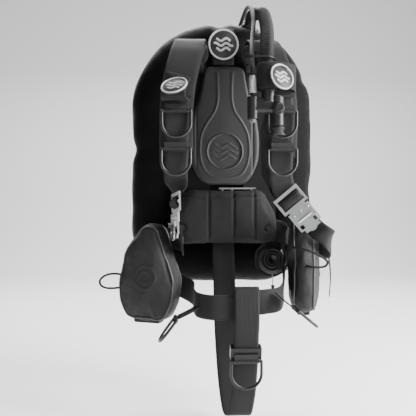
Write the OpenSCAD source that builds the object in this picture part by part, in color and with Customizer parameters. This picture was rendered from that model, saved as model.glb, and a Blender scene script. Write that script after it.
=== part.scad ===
// Diver's buoyancy pack: back plate, padded harness, ring-shaped air cell, power inflator,
// dump valve, quick-release shoulder buckles, droppable weight pouches and a crotch strap.
// +Z is up, the wearer's side faces -Y and the tank side faces +Y. The origin is halfway
// between the two tank-bolt holes, on the rear face of the plate's spine.

/* [Air cell] */
// Half of the air cell's width
cell_half_w = 211; // [190:1:230]
// Width of the inflated tube, seen from the front
cell_tube_w = 115; // [90:1:120]
// Thickness of the inflated tube, front to back
cell_tube_t = 84; // [60:1:90]
// Height of the centre of the arched top
cell_arch_z = 90; // [70:1:110]
// Height of the centres of the two lower corners
cell_low_z = -180; // [-190:1:-160]
// Thickness of the outer fabric shell
shell_wall = 1.5; // [1:0.1:2]

/* [Back plate] */
// Distance between the two tank-bolt holes
bolt_spacing = 279.4; // [279.4]
// Radius of the tank-bolt holes
bolt_hole_r = 4.5; // [4:0.1:5]
// Thickness of the metal plate
plate_t = 3; // [2:0.5:4]
// Depth of the spine channel
spine_depth = 22; // [15:1:25]

/* [Webbing] */
// Width of the harness webbing
web_w = 50; // [50]
// Thickness of the harness webbing
web_t = 2.5; // [2:0.5:3]

/* [Rings and buckles] */
// Inner half width of a D-ring
ring_half_w = 27; // [26:0.5:29]
// Radius of the D-ring's wire
ring_wire_r = 3; // [2.5:0.25:3.2]
// Length of the straight sides of a D-ring
ring_side = 24; // [12:1:28]
// Thickness of the buckle plates
buckle_t = 3; // [2.5:0.25:3.5]

/* [Pads] */
// Thickness of the back pad
back_pad_t = 15; // [10:1:17]
// Thickness of the lumbar pad
lumbar_t = 24; // [18:1:26]
// Width of the shoulder pads
shoulder_pad_w = 68; // [60:1:72]

/* [Inflator] */
// Radius of the corrugated hose
hose_r = 14.5; // [12:0.5:16]
// Radius of the low-pressure hose
lp_r = 4.8; // [4:0.1:5]

/* [Dump valve] */
// Radius of the dump valve's flange
dump_r = 40; // [34:1:42]

/* [Weight pockets] */
// Depth of a weight pocket
pocket_d = 62; // [54:1:70]
// Turn of the left pocket about the vertical
pocket_turn_l = -24; // [-40:1:0]
// Turn of the right pocket about the vertical
pocket_turn_r = 78; // [70:1:82]

/* [Hidden] */
$fn = 48;
part_gap = 0.4;

// ---- air cell
cell_y = 30;
tube_r = cell_tube_t / 2;
tube_flat = (cell_tube_w - cell_tube_t) / 2;
arch_r = cell_half_w - cell_tube_w / 2;
corner_r = 70;
corner_x = arch_r - corner_r;
panel_margin = tube_flat + 35;
panel_r = arch_r - panel_margin;

// ---- front faces
flange_y = -spine_depth;
pad_back_y = flange_y - plate_t - 2;
pad_front_y = pad_back_y - back_pad_t;
lumbar_back_y = pad_back_y - 8;
lumbar_front_y = lumbar_back_y - lumbar_t;
spine_top = 184;
spine_low = -188;

// ---- hoses
hose_route = [[66.5, 30, 301], [66.5, 30, 305], [68, 26, 313], [73, 13, 320], [82, -14, 313],
  [86, -48, 301], [86, -82, 276], [84, -115, 246], [80, -143, 208], [77, -162, 166],
  [76, -173, 130], [77, -176, 112], [77, -176, 104]];
lp_route = [[36, 82, 226], [39, 84, 262], [45, 79, 298], [52, 58, 322], [57, 26, 335],
  [60, -12, 331], [62, -48, 305], [60, -82, 266], [53, -113, 228], [48, -142, 196],
  [46, -162, 168], [45, -173, 150], [45, -176, 140], [45, -176, 134.4]];
lp_x = 45;
hose_x = 77;
inflator_y = -176;
inflator_low = 44;
inflator_top = 92;
arm_x = 96;

// ---- dump valve
dump_pos = [111, -15.6, -254];
dump_gland_z = 10.4;
dump_cord_route = [[111, -26, -283], [111, -26, -289], [111.3, -26, -296], [111.8, -26, -304],
  [112, -26, -313]];

// ---- shoulder straps: the stretch that both sides share, given for the left
strap_top = [[-72, -30, 172], [-72, -36, 196], [-73, -54, 217], [-78, -80, 225],
  [-86, -106, 204], [-95, -127, 170], [-103, -142, 132], [-108, -149, 92], [-110, -149, 56],
  [-110, -146, 10], [-110, -141, -30], [-111, -134, -72]];
pad_route = [for (i = [1 : 10]) strap_top[i]];
cover_route = [for (i = [2 : 7]) strap_top[i]];
strap_end_l = [[-107.6, -130.8, -90], [-107.5, -130.8, -108], [-106.8, -133.3, -133.8]];
strap_end_r = [[116.8, -127.9, -91], [122.1, -129.2, -107.1], [138.3, -133.3, -127]];
upper_ring = [110, -155.5, 64];
lower_ring = [111, -151.5, -14];
badge_flap_sides = [[1, 0, 0], [1, 0, 0], [0.98, -0.17, 0], [0.94, -0.34, 0], [0.94, -0.34, 0],
  [0.94, -0.34, 0], [0.98, -0.17, 0], [1, 0, 0], [1, 0, 0]];
badge_flap_route = [[-104, -149, 140], [-107, -152, 131], [-111, -157, 123], [-114, -172, 108],
  [-117, -187, 93], [-116, -184, 87], [-113, -170, 85], [-111, -160, 87], [-109, -154.4, 95]];
flap_route = [[74, -147, 132], [61, -153, 132], [56, -168, 132], [62, -188, 132], [79, -195, 132],
  [104, -190, 132], [128, -175, 132], [138, -152, 132]];

// ---- buckles: place, slope of the long axis, and turn about the vertical
buckle_pos_r = [119, -131, -104];
buckle_slope_r = 50;
buckle_turn_r = -14;
buckle_pos_l = [-110, -131, -104];
buckle_slope_l = 84;
buckle_turn_l = -75;
buckle_side_r = [0.743, -0.185, 0.643];
buckle_side_l = [0.257, -0.961, 0.104];
lever_x = 67;
lever_z = 3 * buckle_t + 1.2;

// ---- lower straps, from the buckles to the plate's side slots
lower_route_r = [[163.4, -139, -157.6], [179.1, -145.9, -176], [189, -162, -187],
  [205, -163, -198], [219, -130, -215], [227, -80, -228], [222, -38, -230], [200, -15, -222],
  [170, -16.5, -212], [146, -20, -201], [128, -25.8, -193], [118, -27.3, -190], [104, -27.4, -190]];
lower_side_r = [buckle_side_r, buckle_side_r, [0.6, -0.2, 0.75], [0.4, -0.2, 0.9],
  for (i = [1 : 9]) [0, 0, 1]];
tail_route_r = [[228, -80, -246], [236, -62, -272], [240, -50, -300], [239, -44, -334]];
lower_route_l = [[-105.2, -137.3, -173.6], [-104.6, -139.5, -195.5], [-100, -128, -212],
  [-96, -106, -218], [-99, -84, -210], [-123, -66, -204], [-133, -48, -201], [-134, -38, -200],
  [-122, -32.4, -199], [-106, -31.8, -198]];
lower_side_l = [-buckle_side_l, -buckle_side_l, [-0.2, 0.7, 0.7], for (i = [1 : 7]) [0, 0, 1]];

handle_route = [[-3, -32, 190], [-3, -31, 214], [-3, -31, 240], [-3, -32, 262], [-3, -26, 272],
  [-3, -19, 264], [-3, -17, 240], [-3, -16.5, 214], [-3, -16, 198]];

// ---- waist belt
belt_route_l = [[-106, -27.3, -200], [-132, -28, -206], [-168, -31, -222], [-190, -35, -236],
  [-202, -41, -250], [-190, -49, -264], [-150, -64, -284], [-96, -84, -306], [-74, -110, -318],
  [-74, -150, -326], [-66, -186, -331], [-40, -206, -333], [10, -211, -332], [42, -210, -331]];
belt_route_r = [[106, -31.8, -188], [122, -32, -188], [131, -38, -196], [133, -54, -217],
  [128, -84, -262], [119, -118, -294], [112, -150, -314], [98, -178, -322], [70, -199.5, -323],
  [34, -205.5, -325]];
waist_ring_l = [-112, -178, -360];
waist_tilt_l = 37;
waist_tab_l = [[-68, -178, -336], [-82, -179, -344], [-98, -178, -352], [-107, -178, -356]];
waist_ring_r = [128, -205, -338];
waist_tilt_r = -50;
waist_tab_r = [[99, -185, -316], [107, -197, -323], [114.5, -205, -329], [121.5, -205, -333.5]];

// ---- crotch strap: down behind, forward at the bottom, up in front, over the belt and down
crotch_route = [[-2, -31, -212], [-2, -34, -244], [-1, -40, -300], [0, -46, -370], [3, -58, -450],
  [8, -82, -525], [14, -115, -568], [20, -148, -566], [25, -176, -520], [28, -194, -450],
  [28, -209, -390], [28, -217, -360], [28, -217.5, -330], [28, -217, -304], [28, -213.5, -296],
  [28, -206, -293], [28, -198, -299], [28, -197, -345], [28, -197, -390], [28, -187, -438]];
slider_pos = [28, -195.5, -424];
slider_tilt = 13;
crotch_ring_pos = [28, -209, -440];

// ---- weight pockets, drawn in their own X-Z plane from the top edge down
pocket_outline = [[-6, 0], [26, -2], [62, -96], [70, -124], [64, -170], [40, -212],
  [-50, -206], [-64, -176], [-70, -130], [-54, -56]];
pocket_wall = 3;
pouch_w = 84;
pouch_h = 148;
pouch_t = 44;
pouch_top = -58;
pocket_pos_l = [-152, -74, -166];
pocket_pos_r = [136, -92, -150];

loop_route_l = [[-228, -80, -280], [-242, -83, -278], [-256, -88, -279], [-267, -92, -284],
  [-273, -94, -292], [-271, -94, -301], [-262, -91, -307], [-248, -86, -309], [-228, -80, -308]];
loop_route_r = [[136, -148, -219], [142, -162, -219], [156, -172, -222], [174, -178, -229],
  [190, -180, -238], [199, -178, -247], [196, -175, -255], [182, -174, -258], [168, -173, -257],
  [157, -160, -256]];

// ---- shared functions and shapes
function unit(v) = v / norm(v);
function tangent(p, i) = unit(p[min(i + 1, len(p) - 1)] - p[max(i - 1, 0)]);
function across(p, i, side) =
  let (t = tangent(p, i), s = is_list(side[0]) ? side[i] : side)
  unit(s - t * (s * t));

// Closed skin over rings of points that have the same number of points each
module skin(rings) {
  n = len(rings[0]);
  last = (len(rings) - 1) * n;
  points = [for (r = rings) for (q = r) q];
  sides = [for (i = [0 : len(rings) - 2]) for (j = [0 : n - 1])
    let (k = (j + 1) % n, a = i * n, b = (i + 1) * n)
    each j < n / 2 ? [[a + k, b + k, b + j], [a + k, b + j, a + j]]
                   : [[a + j, a + k, b + k], [a + j, b + k, b + j]]];
  start = [[for (j = [n - 1 : -1 : 0]) j]];
  end = [[for (j = [0 : n - 1]) last + j]];
  polyhedron(points = points, faces = concat(start, sides, end), convexity = 6);
}

// Flat strap along a route: side is the direction of its width, one for all or one for each point
module ribbon(route, side, w, t, lift = 0) {
  skin([for (i = [0 : len(route) - 1])
    let (s = across(route, i, side), n = cross(s, tangent(route, i)), c = route[i] + n * lift)
    [c + s * w / 2 + n * t / 2, c - s * w / 2 + n * t / 2,
     c - s * w / 2 - n * t / 2, c + s * w / 2 - n * t / 2]]);
}

// Round hose or cord along a route
module hose(route, r, sides = 12) {
  skin([for (i = [0 : len(route) - 1])
    let (s = across(route, i, [1, 0.01, 0]), n = cross(s, tangent(route, i)))
    [for (k = [0 : sides - 1])
      let (a = 360 * k / sides)
      route[i] + (s * cos(a) + n * sin(a)) * r]]);
}

function mirrored(route) = [for (p = route) [-p[0], p[1], p[2]]];

module rod_x(r, length) {
  rotate([0, 90, 0]) cylinder(r = r, h = length, center = true);
}

module disc_y(r, t, edge = 0) {
  rotate([90, 0, 0]) cylinder(r1 = r, r2 = r - edge, h = t);
}

// ---- air cell
module cell_section(inset) {
  square([2 * tube_flat, 2 * (tube_r - inset)], center = true);
  for (s = [-1, 1]) translate([s * tube_flat, 0]) circle(r = tube_r - inset, $fn = 96);
}

module cell_tube(inset) {
  translate([0, cell_y, cell_arch_z]) rotate([90, 0, 0])
    rotate_extrude(angle = 180, $fn = 96) translate([arch_r, 0]) cell_section(inset);
  for (s = [-1, 1])
    translate([s * arch_r, cell_y, cell_low_z])
      linear_extrude(cell_arch_z - cell_low_z) cell_section(inset);
  translate([corner_x, cell_y, cell_low_z]) rotate([90, 0, 0]) rotate([0, 0, -90])
    rotate_extrude(angle = 90, $fn = 96) translate([corner_r, 0]) cell_section(inset);
  translate([-corner_x, cell_y, cell_low_z]) rotate([90, 0, 0]) rotate([0, 0, 180])
    rotate_extrude(angle = 90, $fn = 96) translate([corner_r, 0]) cell_section(inset);
  translate([-corner_x, cell_y, cell_low_z - corner_r]) rotate([0, 90, 0])
    linear_extrude(2 * corner_x) cell_section(inset);
}

module wing_shell() {
  color([0.05, 0.05, 0.055]) difference() {
    cell_tube(0);
    cell_tube(shell_wall);
  }
}

module wing_bladder() {
  color([0.16, 0.17, 0.19]) difference() {
    cell_tube(shell_wall + 1);
    cell_tube(shell_wall + 1.8);
  }
}

module bolt_holes(r, t) {
  for (s = [-1, 1])
    translate([0, 0, s * bolt_spacing / 2]) rotate([90, 0, 0]) cylinder(r = r, h = t, center = true);
}

module wing_panel() {
  low = corner_r - panel_margin;
  color([0.04, 0.04, 0.045]) difference() {
    translate([0, 4, 0]) rotate([90, 0, 0]) linear_extrude(3) {
      translate([0, cell_arch_z]) circle(r = panel_r, $fn = 96);
      translate([-panel_r, cell_low_z]) square([2 * panel_r, cell_arch_z - cell_low_z]);
      translate([-corner_x, cell_low_z - low]) square([2 * corner_x, low + 1]);
      for (s = [-1, 1]) translate([s * corner_x, cell_low_z]) circle(r = low);
    }
    bolt_holes(8.2, 20);
  }
}

module wing_grommets() {
  color([0.35, 0.35, 0.36])
    for (s = [-1, 1])
      translate([0, 4.6, s * bolt_spacing / 2]) rotate([90, 0, 0]) difference() {
        union() {
          cylinder(r = 8, h = 4.2);
          translate([0, 0, -0.8]) cylinder(r = 12, h = 1.2);
        }
        translate([0, 0, -2]) cylinder(r = bolt_hole_r, h = 8);
      }
}

// ---- hoses and inflator
module wing_elbow() {
  color([0.06, 0.06, 0.065]) {
    translate([66, cell_y, 290.4]) rotate([0, 18.3, 0]) {
      translate([0, 0, -6]) cylinder(r = 24, h = 6);
      cylinder(r1 = 24, r2 = 18, h = 1.5);
    }
    translate([66.5, cell_y, 284]) cylinder(r = 13.5, h = 16.6);
  }
}

module corrugated_hose() {
  color([0.07, 0.07, 0.075]) hose(hose_route, hose_r);
}

module lp_hose() {
  color([0.06, 0.06, 0.065]) hose(lp_route, lp_r, 8);
}

module lp_hose_end() {
  color([0.7, 0.71, 0.72]) translate([36, 82, 0]) {
    translate([0, 0, 203]) cylinder(r = 6.5, h = 21.8);
    translate([0, 0, 194]) cylinder(r = 9, h = 9, $fn = 6);
    translate([0, 0, 182]) cylinder(r = 4.76, h = 12.1);
  }
}

// Knurled sleeve that draws back to let the hose off the inflator's nipple
module lp_coupling() {
  color([0.75, 0.76, 0.77]) translate([lp_x, inflator_y, 0]) difference() {
    union() {
      translate([0, 0, 98]) cylinder(r = 8, h = 30);
      translate([0, 0, 128]) cylinder(r1 = 8, r2 = 6.4, h = 6);
    }
    translate([0, 0, 90]) cylinder(r = 5.05, h = 60);
  }
}

module band(pos, half_w, r, h) {
  translate(pos) difference() {
    union() {
      for (s = [-1, 1]) translate([s * half_w, 0, 0]) cylinder(r = r + 1.6, h = h, center = true);
      cube([2 * half_w, 2 * (r + 1.6), h], center = true);
    }
    for (s = [-1, 1]) translate([s * half_w, 0, 0]) cylinder(r = r, h = 12, center = true);
    cube([2 * half_w, 2 * r, 12], center = true);
  }
}

// Clamp at the hose's lower end, cord loop round both hoses, and band at the hose's rear end
module hose_bands() {
  color([0.1, 0.1, 0.1]) {
    translate([hose_x, inflator_y, 105]) difference() {
      cylinder(r = hose_r + 3.2, h = 8);
      translate([0, 0, -1]) cylinder(r = hose_r + 0.6, h = 10);
    }
    translate([61.5, -162, 167]) rotate([-21.7, 0, 0]) band([0, 0, 0], 15.5, hose_r + 1.2, 5);
    translate([36, 82.5, 212]) band([0, 0, 0], 0.5, 8.6, 9);
  }
}

module inflator_body() {
  color([0.08, 0.08, 0.085]) difference() {
    union() {
      translate([lp_x, inflator_y, inflator_low]) cylinder(r = 11, h = inflator_top - inflator_low);
      translate([lp_x, inflator_y, inflator_top]) cylinder(r = 4.9, h = 22);
      translate([lp_x, inflator_y, 66]) rotate([0, 90, 0]) cylinder(r = 10, h = arm_x - lp_x);
      translate([lp_x, inflator_y - 9, 60]) cube([arm_x - lp_x, 18, 28]);
      translate([hose_x, inflator_y, 80]) cylinder(r = 13.4, h = 23.6);
      translate([arm_x, inflator_y, 30]) cylinder(r = 13.5, h = 62);
      translate([arm_x, inflator_y, 66]) rotate([90, 0, 0]) cylinder(r = 12, h = 17);
    }
    translate([lp_x, inflator_y, inflator_low - 1]) cylinder(r = 7, h = 19);
    translate([arm_x, inflator_y - 3, 66]) rotate([90, 0, 0]) cylinder(r = 9, h = 20);
    translate([arm_x, inflator_y, 20]) cylinder(r = 9, h = 28);
  }
}

module mouthpiece() {
  color([0.1, 0.1, 0.105]) difference() {
    union() {
      translate([arm_x, inflator_y, 17]) cylinder(r = 12, h = 12.6);
      translate([arm_x, inflator_y, 24]) cylinder(r = 15, h = 5.6);
      translate([arm_x - 16, inflator_y - 9, 12]) cube([32, 18, 5.5]);
    }
    translate([arm_x, inflator_y, 10]) cylinder(r = 8, h = 30);
  }
}

module inflate_button() {
  color([0.55, 0.1, 0.08]) translate([lp_x, inflator_y, 0]) {
    translate([0, 0, 38]) cylinder(r1 = 5.5, r2 = 6.95, h = 3);
    translate([0, 0, 41]) cylinder(r = 6.95, h = 9);
  }
}

module spring_at(r, h) {
  difference() {
    cylinder(r = r, h = h);
    translate([0, 0, -1]) cylinder(r = r - 1.2, h = h + 2);
  }
}

module inflate_spring() {
  color([0.7, 0.7, 0.7]) translate([lp_x, inflator_y, 50.2]) spring_at(4.5, 11.6);
}

module deflate_button() {
  color([0.12, 0.12, 0.125]) translate([arm_x, inflator_y, 66]) rotate([90, 0, 0]) {
    translate([0, 0, 12]) cylinder(r = 8.95, h = 8);
    translate([0, 0, 20]) cylinder(r1 = 8.95, r2 = 7.4, h = 2);
  }
}

module deflate_spring() {
  color([0.7, 0.7, 0.7])
    translate([arm_x, inflator_y, 66]) rotate([90, 0, 0]) translate([0, 0, 3.2]) spring_at(6, 5.1);
}

// ---- dump valve, its axis along -Y
module dump_local() {
  translate(dump_pos) rotate([90, 0, 0]) children();
}

module dump_body() {
  color([0.1, 0.1, 0.105]) dump_local() difference() {
    union() {
      translate([0, 0, -2.4]) cylinder(r = dump_r, h = 4.4);
      translate([0, 0, 2]) cylinder(r = dump_r - 8, h = 4);
    }
    translate([0, 0, 1]) cylinder(r = 25, h = 8);
    translate([0, 0, -3]) cylinder(r = 12, h = 8);
  }
}

module dump_cap() {
  color([0.16, 0.16, 0.165]) dump_local() {
    difference() {
      translate([0, 0, 6.3]) cylinder(r = 33, h = 8);
      translate([0, 0, 5]) cylinder(r = 28, h = 7.5);
      translate([0, -31, dump_gland_z]) rotate([90, 0, 0]) cylinder(r = 1.8, h = 12, center = true);
    }
    translate([0, 0, 14.3]) cylinder(r1 = 28, r2 = 24, h = 2);
    translate([0, 0, 16.3]) cylinder(r = 12, h = 1.5);
  }
}

module dump_poppet() {
  color([0.55, 0.56, 0.57]) dump_local() {
    translate([0, 0, 1.3]) cylinder(r = 16, h = 2);
    translate([0, 0, 3.3]) cylinder(r = 3, h = 3);
  }
}

module dump_spring() {
  color([0.7, 0.7, 0.7]) dump_local() translate([0, 0, 7.5]) spring_at(9, 4.6);
}

module dump_cord() {
  color([0.75, 0.75, 0.72]) hose(dump_cord_route, 1, 8);
}

module dump_knob() {
  color([0.1, 0.1, 0.1]) translate([112, -26, -321]) cylinder(r1 = 3.4, r2 = 4.4, h = 8);
}

// ---- back plate and its pads
module plate_outline() {
  polygon([[-90, 196], [90, 196], [105, 180], [104, 130], [84, 40], [86, -60], [118, -120],
    [122, -206], [108, -218], [-108, -218], [-122, -206], [-118, -120], [-86, -60], [-84, 40],
    [-104, 130], [-105, 180]]);
}

module plate_profile() {
  s = spine_depth;
  polygon([[-130, -s - plate_t], [-44, -s - plate_t], [-31, -plate_t], [31, -plate_t],
    [44, -s - plate_t], [130, -s - plate_t], [130, -s], [46, -s], [33, 0],
    [-33, 0], [-46, -s], [-130, -s]]);
}

module slot_y(x, z, length, turn = 0) {
  translate([x, -20, z]) rotate([0, turn, 0]) cube([length, 60, 5], center = true);
}

module backplate() {
  color([0.62, 0.63, 0.64]) difference() {
    intersection() {
      translate([0, 0, -240]) linear_extrude(460) plate_profile();
      translate([0, 20, 0]) rotate([90, 0, 0]) linear_extrude(60) plate_outline();
    }
    bolt_holes(bolt_hole_r, 60);
    for (s = [-1, 1]) {
      slot_y(s * 72, 180, 54);
      slot_y(s * 104, -194, 54, 90);
    }
    for (z = [spine_top, spine_low - 40])
      translate([-48, -19, z]) cube([96, 30, 40]);
    slot_y(0, -206, 54);
  }
}

// Metal adjuster bar between the back pad and the lumbar pad
module plate_bar() {
  color([0.75, 0.75, 0.76]) {
    translate([30, -31.5, -91.5]) rod_x(2.6, 84);
    for (x = [-4, 18, 62]) translate([x, -31.5, -94]) cube([3, 5, 9], center = true);
  }
}

module back_pad_outline() {
  half = [[44, 184], [49, 150], [58, 110], [74, 70], [80, 20], [78, -30], [62, -66], [44, -84]];
  polygon(concat(half, [for (i = [len(half) - 1 : -1 : 0]) [-half[i][0], half[i][1]]]));
}

module back_pad() {
  color([0.2, 0.2, 0.2]) difference() {
    translate([0, pad_back_y, 0]) rotate([90, 0, 0]) linear_extrude(back_pad_t) back_pad_outline();
    translate([0, pad_front_y + 1.6, -8]) rotate([90, 0, 0]) cylinder(r = 40.4, h = 10);
  }
}

module back_emblem() {
  color([0.24, 0.24, 0.24]) translate([0, pad_front_y + 1.4, -8]) {
    disc_y(40, 2.6, 1);
    disc_y(26, 4);
  }
}

module top_handle() {
  color([0.07, 0.07, 0.07]) ribbon(handle_route, [1, 0, 0], web_w, web_t);
}

module top_badge() {
  color([0.3, 0.3, 0.3]) translate([-3, -36.5, 234]) rotate([4, 0, 0]) {
    disc_y(35, 4, 1);
    translate([0, -4, 0]) rotate([90, 0, 0]) difference() {
      cylinder(r = 34, h = 2);
      translate([0, 0, -1]) cylinder(r = 30.5, h = 4);
    }
    translate([0, -4, 0]) rotate([90, 0, 0]) difference() {
      cylinder(r = 17, h = 1.4);
      translate([0, 0, -1]) cylinder(r = 9, h = 4);
    }
  }
}

module lumbar_outline() {
  polygon([[-84, -92], [84, -92], [97, -104], [121, -152], [122, -190], [112, -212], [92, -220],
    [-92, -220], [-112, -212], [-122, -190], [-121, -152], [-97, -104]]);
}

module lumbar_pad() {
  color([0.17, 0.17, 0.17]) difference() {
    translate([0, lumbar_back_y, 0]) rotate([90, 0, 0]) linear_extrude(lumbar_t) lumbar_outline();
    for (s = [-1, 1])
      translate([s * 96, -26, -180]) rotate([90, 0, 0]) cylinder(r = 3.2, h = 60);
  }
}

// Screws and washers that hold the lumbar pad on the plate
module pad_screws() {
  color([0.08, 0.08, 0.08])
    for (s = [-1, 1]) translate([s * 96, lumbar_front_y, -180]) {
      disc_y(6, 1.4, 0.6);
      translate([0, 2, 0]) disc_y(3, 2.2);
      translate([0, lumbar_t, 0]) disc_y(3, lumbar_t);
    }
}

// ---- shoulders
// Padded sleeve: a thick pad on the wearer's side of the webbing and a thin cover outside it
module shoulder_pad() {
  ribbon(pad_route, [1, 0, 0], shoulder_pad_w, 11, 8.6);
  ribbon(cover_route, [1, 0, 0], shoulder_pad_w - 4, 4, -5);
}

// The left pad also has the raised flap that carries a badge
module shoulder_pad_l() {
  color([0.12, 0.12, 0.125]) {
    shoulder_pad();
    ribbon(badge_flap_route, badge_flap_sides, 52, 3);
  }
}

// The right pad also has the flap that holds the inflator hose
module shoulder_pad_r() {
  color([0.12, 0.12, 0.125]) {
    mirror([1, 0, 0]) shoulder_pad();
    ribbon(flap_route, [0, 0, 1], 52, 3);
  }
}

module shoulder_strap_l() {
  sides = [for (p = strap_top) [1, 0, 0], [0.8, -0.6, 0], buckle_side_l, buckle_side_l];
  color([0.09, 0.09, 0.09]) ribbon(concat(strap_top, strap_end_l), sides, web_w, web_t);
}

module shoulder_strap_r() {
  sides = [for (p = strap_top) [1, 0, 0], [0.9, 0.1, -0.4], [0.743, 0.185, -0.643],
    [0.743, 0.185, -0.643]];
  color([0.09, 0.09, 0.09]) mirror([1, 0, 0])
    ribbon(concat(strap_top, mirrored(strap_end_r)), sides, web_w, web_t);
}

module badge() {
  disc_y(28, 4, 1);
  translate([0, -4, 0]) rotate([90, 0, 0]) difference() {
    cylinder(r = 27.5, h = 1.6);
    translate([0, 0, -1]) cylinder(r = 24, h = 4);
  }
  translate([0, -4, 0]) rotate([90, 0, 0]) difference() {
    cylinder(r = 14, h = 1.1);
    translate([0, 0, -1]) cylinder(r = 8, h = 4);
  }
}

module badge_l() {
  color([0.5, 0.5, 0.5]) translate([-114, -173.4, 109.4]) rotate([0, 0, -20]) rotate([-45, 0, 0]) badge();
}

module badge_r() {
  color([0.5, 0.5, 0.5]) translate([99, -193, 126]) rotate([0, 0, 26]) rotate([-14, 0, 0]) badge();
}

// ---- rings, drawn hanging below the bar at the origin
module d_ring() {
  r = ring_wire_r;
  w = ring_half_w + r;
  rod_x(r, 2 * w);
  for (s = [-1, 1]) {
    translate([s * w, 0, 0]) sphere(r = r);
    translate([s * w, 0, -ring_side]) cylinder(r = r, h = ring_side);
  }
  translate([0, 0, -ring_side]) rotate([90, 0, 0]) rotate([0, 0, 180])
    rotate_extrude(angle = 180) translate([w, 0]) circle(r = r);
}

// Sewn loop of webbing that carries a ring's bar
module keeper() {
  difference() {
    union() {
      rod_x(ring_wire_r + 1.9, 2 * ring_half_w - 6);
      translate([0, 1.4, 7]) cube([2 * ring_half_w - 6, 7, 14], center = true);
    }
    rod_x(ring_wire_r + 0.2, 80);
  }
}

module ring_keepers() {
  color([0.08, 0.08, 0.08]) {
    for (s = [-1, 1]) {
      translate([s * upper_ring[0], upper_ring[1], upper_ring[2]]) keeper();
      translate([s * lower_ring[0], lower_ring[1], lower_ring[2]]) keeper();
    }
    waist_keeper(waist_ring_l, waist_tilt_l);
    waist_keeper(waist_ring_r, waist_tilt_r);
    ribbon(waist_tab_l, [0, 1, 0], 44, web_t);
    ribbon(waist_tab_r, [0, 1, 0], 44, web_t);
  }
}

module ring_upper_l() {
  color([0.45, 0.45, 0.46]) translate([-upper_ring[0], upper_ring[1], upper_ring[2]]) d_ring();
}

module ring_upper_r() {
  color([0.45, 0.45, 0.46]) translate(upper_ring) d_ring();
}

module ring_lower_l() {
  color([0.45, 0.45, 0.46]) translate([-lower_ring[0], lower_ring[1], lower_ring[2]]) d_ring();
}

module ring_lower_r() {
  color([0.45, 0.45, 0.46]) translate(lower_ring) d_ring();
}

// ---- buckles, drawn with the long axis along +X, the width along Y and the face towards +Z
module buckle_place(side) {
  translate(side > 0 ? buckle_pos_r : buckle_pos_l)
    rotate([0, 0, side > 0 ? buckle_turn_r : buckle_turn_l])
      rotate([0, side > 0 ? buckle_slope_r : buckle_slope_l, 0]) rotate([90, 0, 0]) children();
}

module buckle_frames() {
  color([0.82, 0.83, 0.84]) for (side = [-1, 1]) buckle_place(side) difference() {
    union() {
      translate([0, -31, 0]) cube([40, 62, buckle_t]);
      translate([36, -20, 0]) cube([26, 40, buckle_t]);
      translate([18, -31, buckle_t]) cube([6, 62, 3]);
    }
    translate([7, -26, -1]) cube([9, 52, 10]);
    translate([26, -26, -1]) cube([8, 52, 10]);
    translate([52, 0, -1]) cylinder(r = 2.6, h = 10);
  }
}

module buckle_tongues() {
  color([0.85, 0.86, 0.87]) for (side = [-1, 1]) buckle_place(side) difference() {
    union() {
      translate([44, -26, buckle_t + part_gap]) cube([44, 52, buckle_t]);
      translate([88, -18, buckle_t + part_gap]) cube([8, 36, buckle_t]);
      for (s = [-1, 1])
        translate([62, s * 21 - 3, 2 * buckle_t]) cube([10, 6, 7]);
    }
    translate([76, -22, 0]) cube([9, 44, 12]);
    for (p = [[52, 0], [52, 18], [52, -18]]) translate([p[0], p[1], 0]) cylinder(r = 2.6, h = 12);
    translate([lever_x, 0, lever_z]) rotate([90, 0, 0]) cylinder(r = 1.65, h = 60, center = true);
  }
}

module buckle_rivets() {
  color([0.9, 0.9, 0.9]) for (side = [-1, 1]) buckle_place(side)
    for (p = [[52, 0], [52, 18], [52, -18]]) translate([p[0], p[1], buckle_t + part_gap]) {
      cylinder(r = 2.5, h = buckle_t + 0.2);
      translate([0, 0, buckle_t + 0.2]) cylinder(r1 = 4, r2 = 3, h = 1.4);
    }
}

module buckle_lever() {
  translate([lever_x, 0, lever_z]) {
    rotate([90, 0, 0]) cylinder(r = 1.6, h = 47.6, center = true);
    difference() {
      union() {
        rotate([90, 0, 0]) cylinder(r = 3, h = 34, center = true);
        translate([0, -13, -1.5]) cube([20, 26, 3]);
        translate([20, 0, -1.5]) cylinder(r = 13, h = 3);
      }
      translate([20, 0, 0.8]) cylinder(r = 9, h = 4);
    }
  }
}

module buckle_lever_l() {
  color([0.7, 0.71, 0.72]) buckle_place(-1) buckle_lever();
}

module buckle_lever_r() {
  color([0.7, 0.71, 0.72]) buckle_place(1) buckle_lever();
}

// ---- waist
module lower_straps() {
  color([0.08, 0.08, 0.08]) {
    ribbon(lower_route_r, lower_side_r, 40, web_t);
    ribbon(lower_route_l, lower_side_l, 40, web_t);
    ribbon(tail_route_r, [0.3, 1, 0.2], 30, web_t);
  }
}

module waist_belt_l() {
  color([0.09, 0.09, 0.09]) ribbon(belt_route_l, [0, 0, 1], web_w, web_t);
}

module waist_belt_r() {
  color([0.09, 0.09, 0.09]) ribbon(belt_route_r, [0, 0, 1], web_w, web_t);
}

module waist_ring_place(pos, tilt) {
  translate(pos) rotate([0, tilt, 0]) rotate([0, 0, 90]) children();
}

module waist_keeper(pos, tilt) {
  waist_ring_place(pos, tilt) difference() {
    rod_x(ring_wire_r + 1.9, 2 * ring_half_w - 6);
    rod_x(ring_wire_r + 0.2, 80);
  }
}

module ring_waist_l() {
  color([0.45, 0.45, 0.46]) waist_ring_place(waist_ring_l, waist_tilt_l) d_ring();
}

module ring_waist_r() {
  color([0.45, 0.45, 0.46]) waist_ring_place(waist_ring_r, waist_tilt_r) d_ring();
}

// ---- weight pockets
module pocket_place(side) {
  translate(side > 0 ? pocket_pos_r : pocket_pos_l)
    rotate([0, 0, side > 0 ? pocket_turn_r : pocket_turn_l]) children();
}

function shrunk(outline, by) =
  let (c = [0, -112])
  [for (p = outline) p - unit(p - c) * by];

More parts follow.
